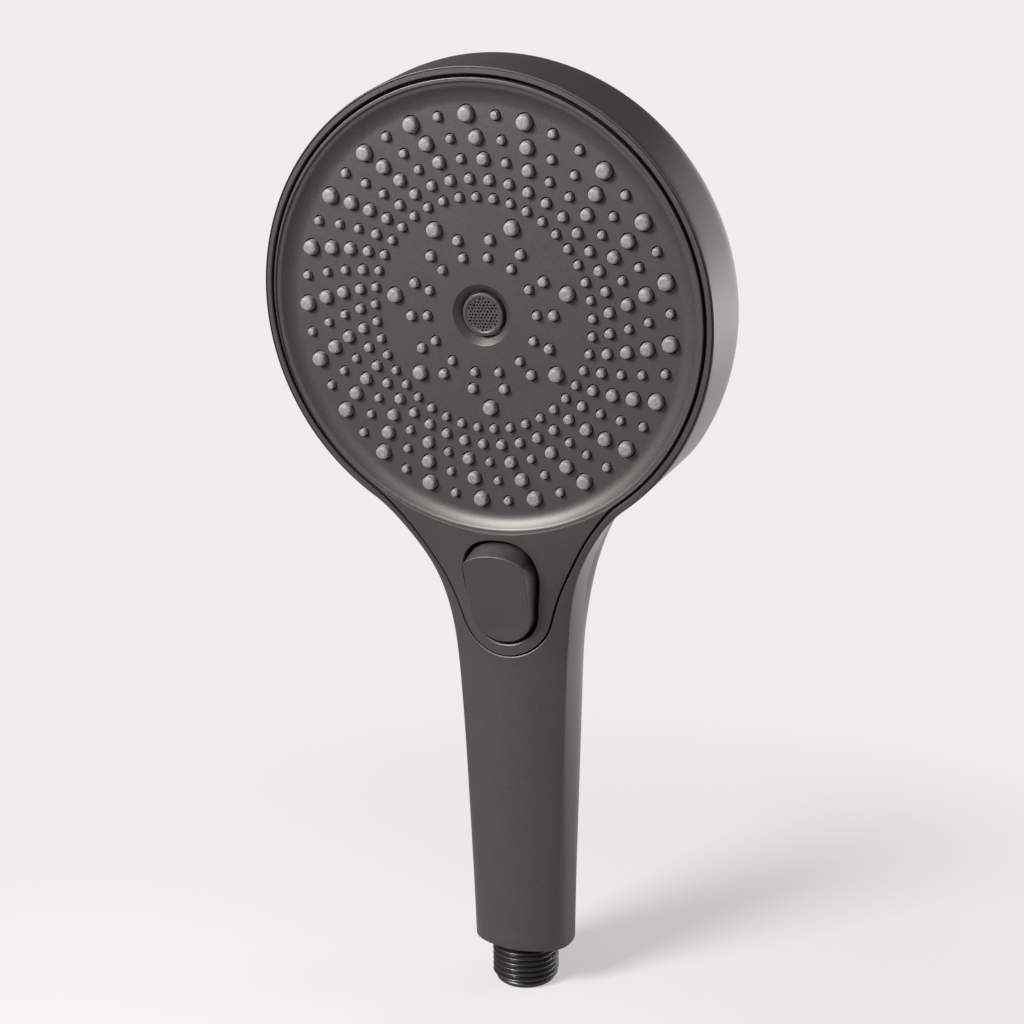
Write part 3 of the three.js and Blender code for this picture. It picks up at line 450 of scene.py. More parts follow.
def keyhole(offset, round_extra=0.0):
    """Outline of the front plate in the face plane, moved outwards by offset, and by a little
    more round the head: right half, top to bottom, as (x, v)."""
    line = []
    for i in range(RIM_STEPS + 1):
        a = math.radians(90 + (FUNNEL_DEG - 90) * i / RIM_STEPS)
        line.append(Vector((OPENING_RADIUS * math.cos(a), OPENING_RADIUS * math.sin(a))))
    end_a = math.radians(TONGUE_END_DEG)
    r = TONGUE_END_RADIUS
    start = line[-1]
    end = Vector((r * math.cos(end_a), TONGUE_END_V + r * math.sin(end_a)))
    knots = [(end.y, end.x), *PANEL_SIDE, (start.y, start.x)]
    side = smooth_curve(knots, start=-math.tan(end_a), end=-start.y / start.x)
    for i in range(1, PANEL_SIDE_STEPS + 1):
        v = start.y + (end.y - start.y) * i / PANEL_SIDE_STEPS
        line.append(Vector((side(v), v)))
    for i in range(1, TONGUE_STEPS + 1):
        a = end_a + (-math.pi / 2 - end_a) * i / TONGUE_STEPS
        line.append(Vector((r * math.cos(a), TONGUE_END_V + r * math.sin(a))))
    moved = []
    for i, p in enumerate(line):
        before = line[i - 1] if i else Vector((-line[1].x, line[1].y))
        after = line[i + 1] if i + 1 < len(line) else Vector((-line[-2].x, line[-2].y))
        way = (after - before).normalized()
        reach = offset + round_extra * ease(-66, -50, p.y)
        moved.append(p + Vector((-way.y, way.x)) * reach)
    moved[0].x = moved[-1].x = 0.0
    return moved


def on_front(x, v):
    """Point of the front surface over a point of the face plane."""
    z = FACE_CENTRE.z + v * UP_WAY.z
    return Vector((x, front_y(x, z), z))


def nozzle_places():
    """Every nozzle as (x, v, width)."""
    places = []
    for ring, (radius, wide, narrow) in enumerate(OUTER_RINGS):
        for row in range(NOZZLE_ROWS):
            is_wide = row % 2 == 1 if row < PLAIN_ROWS else row % 2 == 0
            a = math.radians(FIRST_ROW_DEG + row * 360 / NOZZLE_ROWS - ring * ROW_LAG_DEG)
            places.append((radius * math.cos(a), radius * math.sin(a), wide if is_wide else narrow))
    for radius, width, each in INNER_RINGS:
        count = INNER_FOLD * each
        for k in range(count):
            a = math.radians(INNER_FIRST_DEG + (each - 1) * 180 / count + k * 360 / count)
            places.append((radius * math.cos(a), radius * math.sin(a), width))
    return places


# ---- Mesh helpers ----------------------------------------------------------------------------


def deselect_all():
    if bpy.context.object and bpy.context.object.mode != "OBJECT":
        bpy.ops.object.mode_set(mode="OBJECT")
    bpy.ops.object.select_all(action="DESELECT")


def activate(obj):
    deselect_all()
    obj.select_set(True)
    bpy.context.view_layer.objects.active = obj


def apply_modifier(obj, kind, **settings):
    activate(obj)
    modifier = obj.modifiers.new(kind.title(), kind)
    for name, value in settings.items():
        setattr(modifier, name, value)
    bpy.ops.object.modifier_apply(modifier=modifier.name)


def tidy_mesh(obj, distance=2e-6):
    """Merges doubles and turns every face outwards."""
    activate(obj)
    bpy.ops.object.mode_set(mode="EDIT")
    bpy.ops.mesh.select_all(action="SELECT")
    bpy.ops.mesh.remove_doubles(threshold=distance)
    bpy.ops.mesh.dissolve_degenerate(threshold=distance)
    bpy.ops.mesh.select_all(action="SELECT")
    bpy.ops.mesh.normals_make_consistent(inside=False)
    bpy.ops.object.mode_set(mode="OBJECT")


def on_middle(*rows):
    """Puts every point of the rows on the middle plane."""
    for row in rows:
        for p in row:
            p.x = 0.0


def object_from(name, points, faces):
    mesh = bpy.data.meshes.new(name)
    mesh.from_pydata([tuple(p * MM) for p in points], [], faces)
    mesh.update()
    obj = bpy.data.objects.new(name, mesh)
    bpy.context.scene.collection.objects.link(obj)
    tidy_mesh(obj)
    return obj


def two_sided(name, rows):
    """Closed body from rows of the right half; each row starts and ends on the middle plane."""
    width = len(rows[0])
    points = [p for row in rows for p in row]
    count = len(points)
    points += [Vector((-p.x, p.y, p.z)) for p in points]
    faces = []
    for i in range(len(rows) - 1):
        for j in range(width - 1):
            a, b = i * width + j, i * width + j + 1
            quad = (a, b, b + width, a + width)
            faces.append(quad)
            faces.append(tuple(count + k for k in reversed(quad)))
    return object_from(name, points, faces)


def turned(name, profile, steps=64, origin=None, across=None, along_way=None):
    """Body turned from a profile of (radius, height) points, drawn from the axis to the axis or
    as a closed loop. The axis starts at origin and runs along along_way."""
    origin = origin or Vector((0, 0, 0))
    along_way = along_way or Vector((0, 0, 1))
    across = across or Vector((1, 0, 0))
    deselect_all()
    start = origin + across * profile[0][0] + along_way * profile[0][1]
    bpy.ops.mesh.primitive_plane_add(size=2 * MM, location=start * MM)
    obj = bpy.context.object
    obj.name = name
    bpy.ops.object.mode_set(mode="EDIT")
    bpy.ops.mesh.select_all(action="SELECT")
    bpy.ops.mesh.merge(type="CENTER")
    for (r0, h0), (r1, h1) in zip(profile, profile[1:]):
        step = (across * (r1 - r0) + along_way * (h1 - h0)) * MM
        bpy.ops.mesh.extrude_region_move(TRANSFORM_OT_translate={"value": step})
    bpy.ops.mesh.select_all(action="SELECT")
    bpy.ops.mesh.spin(steps=steps, angle=2 * math.pi, center=origin * MM, axis=along_way)
    bpy.ops.object.mode_set(mode="OBJECT")
    settle(obj)
    tidy_mesh(obj)
    return obj


def face_turned(name, profile, steps=128, v=0.0):
    """Body turned about the depth axis of the head, from (radius, depth) points."""
    return turned(name, profile, steps, at_face(0, 0, v), Vector((1, 0, 0)), DEPTH_WAY)


def face_matrix(x, depth, v):
    """Placement in metres for a part modelled on +Z as the way out of the face."""
    across, up, out = Vector((1, 0, 0)), UP_WAY, -DEPTH_WAY
    turn = Matrix((across, up, out)).transposed().to_4x4()
    return Matrix.Translation(at_face(x, depth, v) * MM) @ turn


def settle(obj):
    """Puts the object at the origin, with its place in its mesh."""
    bpy.context.view_layer.update()
    obj.data.transform(obj.matrix_world)
    obj.matrix_world = Matrix.Identity(4)
    obj.data.update()


def solid_block(name, low, high, bevel=0.0, matrix=None):
    """Bevelled block between two corners."""
    deselect_all()
    low, high = Vector(low), Vector(high)
    bpy.ops.mesh.primitive_cube_add(size=1)
    obj = bpy.context.object
    obj.name = name
    size = high - low
    obj.data.transform(Matrix.Diagonal((size.x * MM, size.y * MM, size.z * MM, 1)))
    obj.data.transform(Matrix.Translation((low + high) / 2 * MM))
    if matrix is not None:
        obj.data.transform(matrix)
    if bevel:
        apply_modifier(obj, "BEVEL", width=bevel * MM, segments=2)
    return obj


def copies(original, matrices):
    """One object made of a copy of the original at each matrix; the original is removed."""
    made = []
    for matrix in matrices:
        mesh = original.data.copy()
        mesh.transform(matrix)
        obj = bpy.data.objects.new(original.name, mesh)
        bpy.context.scene.collection.objects.link(obj)
        made.append(obj)
    bpy.data.objects.remove(original)
    deselect_all()
    for obj in made:
        obj.select_set(True)
    bpy.context.view_layer.objects.active = made[0]
    bpy.ops.object.join()
    return bpy.context.view_layer.objects.active


def combine(obj, other, operation="DIFFERENCE"):
    """Boolean with another body, which is then removed."""
    apply_modifier(obj, "BOOLEAN", operation=operation, solver="MANIFOLD", object=other)
    bpy.data.objects.remove(other)
    if not obj.data.polygons:
        raise RuntimeError(f"{obj.name} lost its faces in a boolean")


def smooth_shade(obj, degrees=32, flat_way=None):
    """Smooth shading up to an angle; faces square to flat_way stay truly flat."""
    activate(obj)
    bpy.ops.object.shade_smooth_by_angle(angle=math.radians(degrees))
    if flat_way is None:
        return
    for face in obj.data.polygons:
        if abs(face.normal.dot(flat_way)) > 0.99995:
            face.use_smooth = False


def finish_piece(obj, name, body, material, slot, *nodes):
    """Names the piece, gives it its material and puts it on its body."""
    settle(obj)
    obj.name = name
    obj.data.name = name
    obj.data.materials.clear()
    obj.data.materials.append(material)
    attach(obj, body)
    if nodes:
        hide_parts(*nodes)
    return obj


# ---- Materials -------------------------------------------------------------------------------


def node(tree, kind, place=(0, 0), **values):
    made = tree.nodes.new(kind)
    made.location = place
    for name, value in values.items():
        if hasattr(made, name):
            setattr(made, name, value)
        else:
            made.inputs[name.replace("_", " ")].default_value = value
    return made


def grain_group():
    """Fine moulded grain with soft larger clouds: a colour, a roughness and a height."""
    name = "Moulded grain"
    if name in bpy.data.node_groups:
        return bpy.data.node_groups[name]
    tree = bpy.data.node_groups.new(name, "ShaderNodeTree")
    face = tree.interface
    face.new_socket("Vector", in_out="INPUT", socket_type="NodeSocketVector")
    face.new_socket("Dark", in_out="INPUT", socket_type="NodeSocketColor")
    face.new_socket("Light", in_out="INPUT", socket_type="NodeSocketColor")
    for label, value in (("Grain scale", 2400.0), ("Cloud scale", 90.0), ("Cloud share", 0.25),
                         ("Smooth", 0.4), ("Rough", 0.5)):
        face.new_socket(label, in_out="INPUT", socket_type="NodeSocketFloat").default_value = value
    face.new_socket("Color", in_out="OUTPUT", socket_type="NodeSocketColor")
    face.new_socket("Roughness", in_out="OUTPUT", socket_type="NodeSocketFloat")
    face.new_socket("Height", in_out="OUTPUT", socket_type="NodeSocketFloat")
    start = node(tree, "NodeGroupInput", (-900, 0))
    end = node(tree, "NodeGroupOutput", (600, 0))
    fine = node(tree, "ShaderNodeTexNoise", (-650, 200), Detail=3.0, Roughness=0.6)
    cloud = node(tree, "ShaderNodeTexNoise", (-650, -150), Detail=2.0, Roughness=0.5)
    spread = node(tree, "ShaderNodeMapRange", (-420, 200))
    spread.inputs["From Min"].default_value = 0.3
    spread.inputs["From Max"].default_value = 0.7
    share = node(tree, "ShaderNodeMix", (-180, 60), data_type="FLOAT")
    colour = node(tree, "ShaderNodeMix", (120, 120), data_type="RGBA")
    rough = node(tree, "ShaderNodeMapRange", (120, -200))
    link = tree.links.new
    link(start.outputs["Vector"], fine.inputs["Vector"])
    link(start.outputs["Vector"], cloud.inputs["Vector"])
    link(start.outputs["Grain scale"], fine.inputs["Scale"])
    link(start.outputs["Cloud scale"], cloud.inputs["Scale"])
    link(fine.outputs["Fac"], spread.inputs["Value"])
    link(start.outputs["Cloud share"], share.inputs[0])
    link(spread.outputs["Result"], share.inputs[2])
    link(cloud.outputs["Fac"], share.inputs[3])
    link(share.outputs[0], colour.inputs[0])
    link(start.outputs["Dark"], colour.inputs[6])
    link(start.outputs["Light"], colour.inputs[7])
    link(share.outputs[0], rough.inputs["Value"])
    link(start.outputs["Smooth"], rough.inputs["To Min"])
    link(start.outputs["Rough"], rough.inputs["To Max"])
    link(colour.outputs[2], end.inputs["Color"])
    link(rough.outputs["Result"], end.inputs["Roughness"])
    link(spread.outputs["Result"], end.inputs["Height"])
    return tree


def grained(name, dark, light, grain=2400.0, cloud=90.0, cloud_share=0.25, smooth=0.4, rough=0.5,
            bump=0.15, height=0.00002, metallic=0.0, specular=0.5, coat=0.0, stretch=None):
    """Material with the moulded grain; stretch scales the pattern's axes for brushed metal."""
    if name in bpy.data.materials:
        return bpy.data.materials[name]
    material = bpy.data.materials.new(name)
    material.use_nodes = True
    tree = material.node_tree
    shader = tree.nodes["Principled BSDF"]
    shader.inputs["Metallic"].default_value = metallic
    shader.inputs["Specular IOR Level"].default_value = specular
    shader.inputs["Coat Weight"].default_value = coat
    shader.inputs["Coat Roughness"].default_value = 0.12
    place = node(tree, "ShaderNodeTexCoord", (-900, 0))
    mapping = node(tree, "ShaderNodeMapping", (-700, 0))
    mapping.inputs["Scale"].default_value = stretch or (1, 1, 1)
    group = node(tree, "ShaderNodeGroup", (-450, 0))
    group.node_tree = grain_group()
    for label, value in (("Dark", (*dark, 1)), ("Light", (*light, 1)), ("Grain scale", grain),
                         ("Cloud scale", cloud), ("Cloud share", cloud_share),
                         ("Smooth", smooth), ("Rough", rough)):
        group.inputs[label].default_value = value
    relief = node(tree, "ShaderNodeBump", (-200, -250), Strength=bump, Distance=height)
    link = tree.links.new
    link(place.outputs["Object"], mapping.inputs["Vector"])
    link(mapping.outputs["Vector"], group.inputs["Vector"])
    link(group.outputs["Color"], shader.inputs["Base Color"])
    link(group.outputs["Roughness"], shader.inputs["Roughness"])
    link(group.outputs["Height"], relief.inputs["Height"])
    link(relief.outputs["Normal"], shader.inputs["Normal"])
    return material


def tones(colour, spread):
    """Darker and lighter tone of a colour."""
    return [c * (1 - spread) for c in colour[:3]], [c * (1 + spread) for c in colour[:3]]


def charcoal():
    s = bpy.context.scene.shower_finish
    dark, light = tones(s.charcoal, 0.22)
    return grained("Charcoal coat", dark, light, 2600, 110, 0.25, s.charcoal_gloss - 0.05,
                   s.charcoal_gloss + 0.07, bump=0.22, metallic=0.55)


def silicone():
    s = bpy.context.scene.shower_finish
    dark, light = tones(s.silicone, 0.45)
    return grained("Grey silicone", dark, light, 1300, 420, 0.3, 0.4, 0.6, bump=0.6, height=0.0001)


def satin_black():
    s = bpy.context.scene.shower_finish
    dark, light = tones(s.black, 0.2)
    return grained("Satin black", dark, light, 900, 60, 0.5, 0.3, 0.36, bump=0.02)


def steel():
    return grained("Stainless steel", (0.5, 0.5, 0.51), (0.66, 0.66, 0.67), 900, 60, 0.2,
                   0.25, 0.36, bump=0.08, metallic=1.0, stretch=(1, 1, 0.15))


def white_acetal():
    return grained("White acetal", (0.68, 0.67, 0.63), (0.78, 0.77, 0.73), 1100, 40, 0.5,
                   0.42, 0.55, bump=0.1)


def blue_acetal():
    return grained("Blue acetal", (0.05, 0.14, 0.3), (0.08, 0.2, 0.4), 1100, 50, 0.5,
                   0.4, 0.52, bump=0.1)


def black_nylon():
    return grained("Black nylon", (0.018, 0.018, 0.018), (0.04, 0.04, 0.04), 1500, 60, 0.4,
                   0.45, 0.6, bump=0.2)


def sealing_rubber():
    return grained("Sealing rubber", (0.012, 0.012, 0.012), (0.03, 0.03, 0.03), 1200, 90, 0.5,
                   0.6, 0.75, bump=0.2)


# ---- Settings --------------------------------------------------------------------------------


class ShowerShellSettings(bpy.types.PropertyGroup):
    """Sizes of the rear shell and the front plate."""

    rim_rounding: bpy.props.FloatProperty(
        name="Rim rounding", description="Radius of the rear shell's front edge",
        default=0.6 * MM, min=0.1 * MM, max=1.0 * MM, unit="LENGTH", precision=5)
    handle_rounding: bpy.props.FloatProperty(
        name="Handle rounding", description="Rounding of the crease at the handle's end",
        default=3.4 * MM, min=0.5 * MM, max=5.0 * MM, unit="LENGTH", precision=5)
    panel_gap: bpy.props.FloatProperty(
        name="Panel gap", description="Open joint between the front plate and the shell",
        default=0.55 * MM, min=0.1 * MM, max=0.8 * MM, unit="LENGTH", precision=5)
    wall: bpy.props.FloatProperty(
        name="Wall", description="Wall of the rear shell",
        default=2.4 * MM, min=1.5 * MM, max=3.0 * MM, unit="LENGTH", precision=5)


class ShowerSpraySettings(bpy.types.PropertyGroup):
    """Sizes of the nozzles and the mesh insert."""

    nozzle_base: bpy.props.FloatProperty(
        name="Nozzle base height", description="Part of a nozzle's height that all of them share",
        default=0.9 * MM, min=0.2 * MM, max=2.0 * MM, unit="LENGTH", precision=5)
    nozzle_share: bpy.props.FloatProperty(
        name="Nozzle height share", description="Height a nozzle gains for each unit of its width",
        default=0.2, min=0.0, max=0.5)
    nozzle_clearance: bpy.props.FloatProperty(
        name="Nozzle clearance", description="Open ring between a nozzle and the front plate",
        default=0.38 * MM, min=0.1 * MM, max=0.6 * MM, unit="LENGTH", precision=5)
    mesh_pitch: bpy.props.FloatProperty(
        name="Mesh pitch", description="Distance between the holes of the mesh insert",
        default=1.02 * MM, min=0.6 * MM, max=2.0 * MM, unit="LENGTH", precision=5)


class ShowerButtonSettings(bpy.types.PropertyGroup):
    """Sizes of the button."""

    proud_top: bpy.props.FloatProperty(
        name="Proud at the top", description="How far the button's face stands out at its top edge",
        default=4.8 * MM, min=1.0 * MM, max=5.0 * MM, unit="LENGTH", precision=5)
    proud_end: bpy.props.FloatProperty(
        name="Proud at the end", description="How far the button's face stands out at its lower end",
        default=0.3 * MM, min=0.0, max=1.0 * MM, unit="LENGTH", precision=5)
    dish: bpy.props.FloatProperty(
        name="Thumb dish", description="Depth of the dish near the button's lower end",
        default=0.55 * MM, min=0.0, max=1.0 * MM, unit="LENGTH", precision=5)


class ShowerInletSettings(bpy.types.PropertyGroup):
    """Sizes of the hose inlet."""

    thread_radius: bpy.props.FloatProperty(
        name="Thread radius", description="Outer radius of the pipe thread",
        default=10.4775 * MM, min=10.0 * MM, max=11.0 * MM, unit="LENGTH", precision=5)
    thread_pitch: bpy.props.FloatProperty(
        name="Thread pitch", description="Distance between the thread's turns",
        default=1.814 * MM, min=1.0 * MM, max=2.5 * MM, unit="LENGTH", precision=5)
    thread_depth: bpy.props.FloatProperty(
        name="Thread depth", description="Height of the thread above its root",
        default=1.16 * MM, min=0.5 * MM, max=1.5 * MM, unit="LENGTH", precision=5)


class ShowerFinishSettings(bpy.types.PropertyGroup):
    """Colours and gloss of the finishes."""

    charcoal: bpy.props.FloatVectorProperty(
        name="Charcoal", description="Colour of the shell, the front plate and the button",
        default=(0.068, 0.0605, 0.0555), min=0, max=1, subtype="COLOR")
    charcoal_gloss: bpy.props.FloatProperty(
        name="Charcoal roughness", description="Roughness of the charcoal coat",
        default=0.44, min=0.1, max=0.9, subtype="FACTOR")
    silicone: bpy.props.FloatVectorProperty(
        name="Silicone", description="Colour of the soft nozzles",
        default=(0.17, 0.168, 0.165), min=0, max=1, subtype="COLOR")
    black: bpy.props.FloatVectorProperty(
        name="Inlet black", description="Colour of the threaded inlet",
        default=(0.013, 0.012, 0.0115), min=0, max=1, subtype="COLOR")


class ShowerStageSettings(bpy.types.PropertyGroup):
    """Floor and light."""

    backdrop: bpy.props.FloatVectorProperty(
        name="Backdrop", description="Colour of the seamless pale backdrop",
        default=(0.875, 0.845, 0.845), min=0, max=1, subtype="COLOR")
    key_power: bpy.props.FloatProperty(
        name="Key power", description="Power of the soft key light",
        default=12.5, min=0, max=100, unit="POWER")
    lens: bpy.props.FloatProperty(
        name="Lens", description="Focal length of the camera in millimetres on a 36 mm sensor",
        default=53.58, min=20, max=200)


# ---- Pieces ----------------------------------------------------------------------------------


class SHOWER_OT_rear_shell(bpy.types.Operator):
    """Build the rear shell: head, neck and handle in one moulding"""

    bl_idname = "shower.rear_shell"
    bl_label = "Rear shell"

    def execute(self, context):
        s = context.scene.shower_shell
        rim, end = s.rim_rounding / MM, s.handle_rounding / MM
        rows = []
        for edge in shell_edge():
            rounding = rim + (end - rim) * (1 - ease(*SHARP_Z, edge.z)) ** 1.5
            rows.append(section(front_line(edge), side_line(edge), rounding))
        on_middle(rows[0])
        soften_back(rows)
        last, axis = rows[-1], Vector((0, HANDLE_AXIS_Y, 0))
        edge_radius = last[0].z - HANDLE_END_Z
        for i in range(1, END_EDGE_STEPS + 1):
            a = math.pi / 2 * i / END_EDGE_STEPS
            inset, drop = edge_radius * (1 - math.cos(a)), edge_radius * math.sin(a)
            row = []
            for p in last:
                way = Vector((p.x - axis.x, p.y - axis.y, 0))
                row.append(p - way.normalized() * inset - Vector((0, 0, drop)))
            rows.append(row)
        for share in (0.9, 0.0):
            rows.append([Vector((p.x * share, axis.y + (p.y - axis.y) * share, HANDLE_END_Z))
                         for p in rows[-1]])
        shell = two_sided("rear_shell_fine", rows)
        combine(shell, self.panel_cutter(s.panel_gap / MM))
        combine(shell, self.head_room(s.wall / MM))
        combine(shell, self.rim_groove())
        combine(shell, self.neck_room(s.wall / MM))
        combine(shell, self.inlet_room())
        tidy_mesh(shell)
        smooth_shade(shell, 32, DEPTH_WAY)
        finish_piece(shell, "rear_shell_fine", "handset", charcoal(), "shell", "rear_shell")
        return {"FINISHED"}

    def panel_cutter(self, gap):
        """Keyhole body that opens the front, with a small chamfer at the front edge."""
        offset, chamfer = gap - JOINT_MIDDLE, PANEL_CHAMFER
        wide = keyhole(offset + chamfer + 1.0, ROUND_THE_HEAD)
        narrow = keyhole(offset, ROUND_THE_HEAD)
        rows = []
        for a, b in zip(wide, narrow):
            top, wall = on_front(*a), on_front(*b)
            lid = [p - DEPTH_WAY * 1.0 for p in front_line(top)]
            floor = [p + DEPTH_WAY * (PLATE_BACK + 0.3) for p in reversed(front_line(wall))]
            rows.append(lid[::3] + [wall + DEPTH_WAY * chamfer] + floor[::3])
        on_middle(rows[0], rows[-1])
        return two_sided("panel_cutter", rows)

    def rim_groove(self):
        """Fine groove round the head's front rim, fading out where the neck begins."""
        points, faces, steps = [], [], GROOVE_STEPS
        start = FUNNEL_DEG + 4
        for i in range(steps + 1):
            a = math.radians(start + (180 - 2 * start) * i / steps)
            fade = min(i, steps - i, GROOVE_FADE_STEPS) / GROOVE_FADE_STEPS
            depth = GROOVE_DEPTH * fade - 0.02
            for r, d in ((GROOVE_OUTER, -0.4), (GROOVE_OUTER - 0.08, depth),
                         (GROOVE_INNER + 0.12, depth), (GROOVE_INNER, -0.4)):
                points.append(at_face(r * math.cos(a), d, r * math.sin(a)))
        for i in range(steps):
            for k in range(4):
                a, b = i * 4 + k, i * 4 + (k + 1) % 4
                faces.append((a, b, b + 4, a + 4))
        faces += [(3, 2, 1, 0), tuple(steps * 4 + k for k in range(4))]
        return object_from("rim_groove", points, faces)

    def head_room(self, wall):
        """Hollow of the head behind the front plate."""
        radius, back = OPENING_RADIUS - 1.6, HEAD_DEPTH - BACK_DOME - wall
        profile = [(0, PLATE_BACK), (radius, PLATE_BACK), (radius, WIDEST_DEPTH),
                   (radius - 2, back - 1.5), (radius - 6, back), (0, back)]
        return face_turned("head_room", profile)

    def neck_room(self, wall):
        """Hollow of the neck and the handle: an oval that narrows again inside the head."""
        points, count = [], 40
        low, high, head_z, narrow_z, widest = 30, 184, 150, 165, 27
        heights = [low + (high - low) * i / 40 for i in range(41)]
        for z in heights:
            front, back = front_y(0, z), ridge_y(z)
            if z > head_z:
                front = plane_y(z) + 8
            half = min(crease_x(min(z, head_z)) - 2.2, widest - max(z - narrow_z, 0))
            middle, deep = (front + back) / 2, (back - front) / 2 - wall - 0.2
            for k in range(count):
                a = 2 * math.pi * k / count
                points.append(Vector((half * math.cos(a), middle + deep * math.sin(a), z)))
        faces = [tuple(range(count)), tuple(len(points) - 1 - k for k in range(count))]
        for i in range(len(heights) - 1):
            for k in range(count):
                a, b = i * count + k, i * count + (k + 1) % count
                faces.append((a, b, b + count, a + count))
        return object_from("neck_room", points, faces)

    def inlet_room(self):
        """Bore at the handle's end that takes the inlet nipple."""
        profile = [(0, HANDLE_END_Z - 2), (10.2, HANDLE_END_Z - 1.0), (9.2, HANDLE_END_Z + 0.4),
                   (9.2, 30), (10.4, 30.2), (10.4, 36), (0, 36)]
        return turned("inlet_room", profile, 64)


class SHOWER_OT_front_plate(bpy.types.Operator):
    """Build the front plate: spray dish and neck panel in one moulding"""

    bl_idname = "shower.front_plate"
    bl_label = "Front plate"

    def execute(self, context):
        def thickness(p):
            return PLATE_THIN + (PLATE_BACK - PLATE_THIN) * ease(*PLATE_THICKENS_Z, p.z)

        rows = []
        for x, v in keyhole(-JOINT_MIDDLE, PLATE_ROUND_THE_HEAD):
            edge = on_front(x, v)
            front = front_line(edge)
            side = [edge + DEPTH_WAY * (thickness(edge) * i / 6) for i in range(7)]
            side += [p + DEPTH_WAY * thickness(p) for p in reversed(front[:-1])]
            rows.append(section(front, side, PLATE_ROUNDING))
        on_middle(rows[0], rows[-1])
        plate = two_sided("front_plate_fine", rows)
        combine(plate, self.dish_cutter())
        combine(plate, self.nozzle_holes(context.scene.shower_spray.nozzle_clearance / MM))
        combine(plate, self.countersink())
        combine(plate, self.button_opening())
        tidy_mesh(plate)
        smooth_shade(plate, 32, DEPTH_WAY)
        finish_piece(plate, "front_plate_fine", "handset", charcoal(), "front_plate", "front_plate")
        return {"FINISHED"}

    def dish_cutter(self):
        """Room of the spray dish: thin round bead, flat ledge, hollow cove and flat floor."""
        profile = [(0, DISH_EDGE[0][1]), *DISH_EDGE]
        for i in range(COVE_STEPS):
            share = 1 - i / COVE_STEPS
            radius = COVE_FOOT + (COVE_TOP - COVE_FOOT) * share
            profile.append((radius, DISH_DEPTH - COVE_RISE * share**2))
        profile += [(COVE_FOOT, DISH_DEPTH), (0, DISH_DEPTH)]
        return face_turned("dish_cutter", profile, 192, DISH_MIDDLE_V)

    def nozzle_holes(self, clearance):
        """One round hole for each nozzle."""
        deselect_all()
        bpy.ops.mesh.primitive_cylinder_add(vertices=18, radius=1.0, depth=6 * MM)
        hole = bpy.context.object
        places = []
        for x, v, width in nozzle_places():
            r = (width * NOZZLE_VISIBLE / 2 + clearance) * MM
            places.append(face_matrix(x, 4.5, v) @ Matrix.Diagonal((r, r, 1, 1)))
        return copies(hole, places)

    def countersink(self):
        """Sloping recess and hole for the mesh insert."""
        return face_turned("countersink", RECESS, 96)

    def button_opening(self):
        """Opening for the button, with a small chamfer at the front."""
        top, wall = button_outline(-1.3), button_outline(0.0)
        centre = (0.0, BUTTON_MIDDLE_V)
        rows = []
        for a, b in zip(top, wall):
            lid = [on_front(a[0] * t, centre[1] + (a[1] - centre[1]) * t) - DEPTH_WAY * 1.0
                   for t in (0, 0.25, 0.5, 0.75, 1)]
            foot = on_front(*b)
            deep = DEPTH_WAY * 7
            rows.append(lid + [foot + DEPTH_WAY * 0.3, foot + deep, on_front(*centre) + deep])
        on_middle(rows[0], rows[-1])
        return two_sided("button_opening", rows)


def polar_outline(points, centre_v, count=64):
    """Right half of an outline, resampled at even angles about (0, centre_v), top to bottom."""
    angles = [math.atan2(v - centre_v, x) for x, v in points]
    sampled, j = [], 0
    for i in range(count + 1):
        a = math.pi / 2 - math.pi * i / count
        while j < len(angles) - 2 and angles[j + 1] > a:
            j += 1
        (x0, v0), (x1, v1) = points[j], points[j + 1]
        across, up = math.sin(a), math.cos(a)
        turn = (x0 - x1) * across - (v0 - v1) * up
        share = (x0 * across - (v0 - centre_v) * up) / (turn or 1e-9)
        share = min(max(share, 0.0), 1.0)
        sampled.append((x0 + (x1 - x0) * share, v0 + (v1 - v0) * share))
    sampled[0] = (0.0, sampled[0][1])
    sampled[-1] = (0.0, sampled[-1][1])
    return sampled


def button_outline(inset):
    """Outline of the button or its opening: squarish arch, straight flanks, round end."""
    line = []
    for i in range(OUTLINE_STEPS + 1):
        a = math.pi / 2 * (1 - i / OUTLINE_STEPS)
        square = math.cos(a) ** BUTTON_SQUARENESS + math.sin(a) ** BUTTON_SQUARENESS
        r = (BUTTON_TOP_RADIUS - inset) / square ** (1 / BUTTON_SQUARENESS)
        line.append((r * math.cos(a), BUTTON_TOP_V + BUTTON_TOP_STRETCH * r * math.sin(a)))
    for i in range(OUTLINE_STEPS + 1):
        a = -math.pi / 2 * i / OUTLINE_STEPS
        r = BUTTON_END_RADIUS - inset
        line.append((r * math.cos(a), BUTTON_END_V + r * math.sin(a)))
    return polar_outline(line, BUTTON_MIDDLE_V)


def button_face_outline():
    """Outline of the button's raised face: flat-arched top with small corners, round end."""
    half = FACE_HALF_WIDTH
    radius = (half**2 + FACE_ARCH**2) / (2 * FACE_ARCH)
    line = []
    reach = half - FACE_CORNER / 2
    for i in range(31):
        x = reach * i / 30
        line.append((x, FACE_TOP_V - (radius - math.sqrt(radius**2 - x**2))))
    start = Vector(line[-1])
    bend = Vector((half - 0.05, start.y - 0.45))
    stop = Vector((half + 0.08, start.y - FACE_CORNER))
    for i in range(1, 11):
        t = i / 10
        line.append(tuple(start * (1 - t) ** 2 + bend * (2 * t * (1 - t)) + stop * t * t))
    for i in range(1, OUTLINE_STEPS):
        a = -math.pi / 2 * i / (OUTLINE_STEPS - 1)
        r = FACE_END_RADIUS
        line.append((r * math.cos(a), BUTTON_END_V + r * math.sin(a)))
    return polar_outline(line, BUTTON_MIDDLE_V)


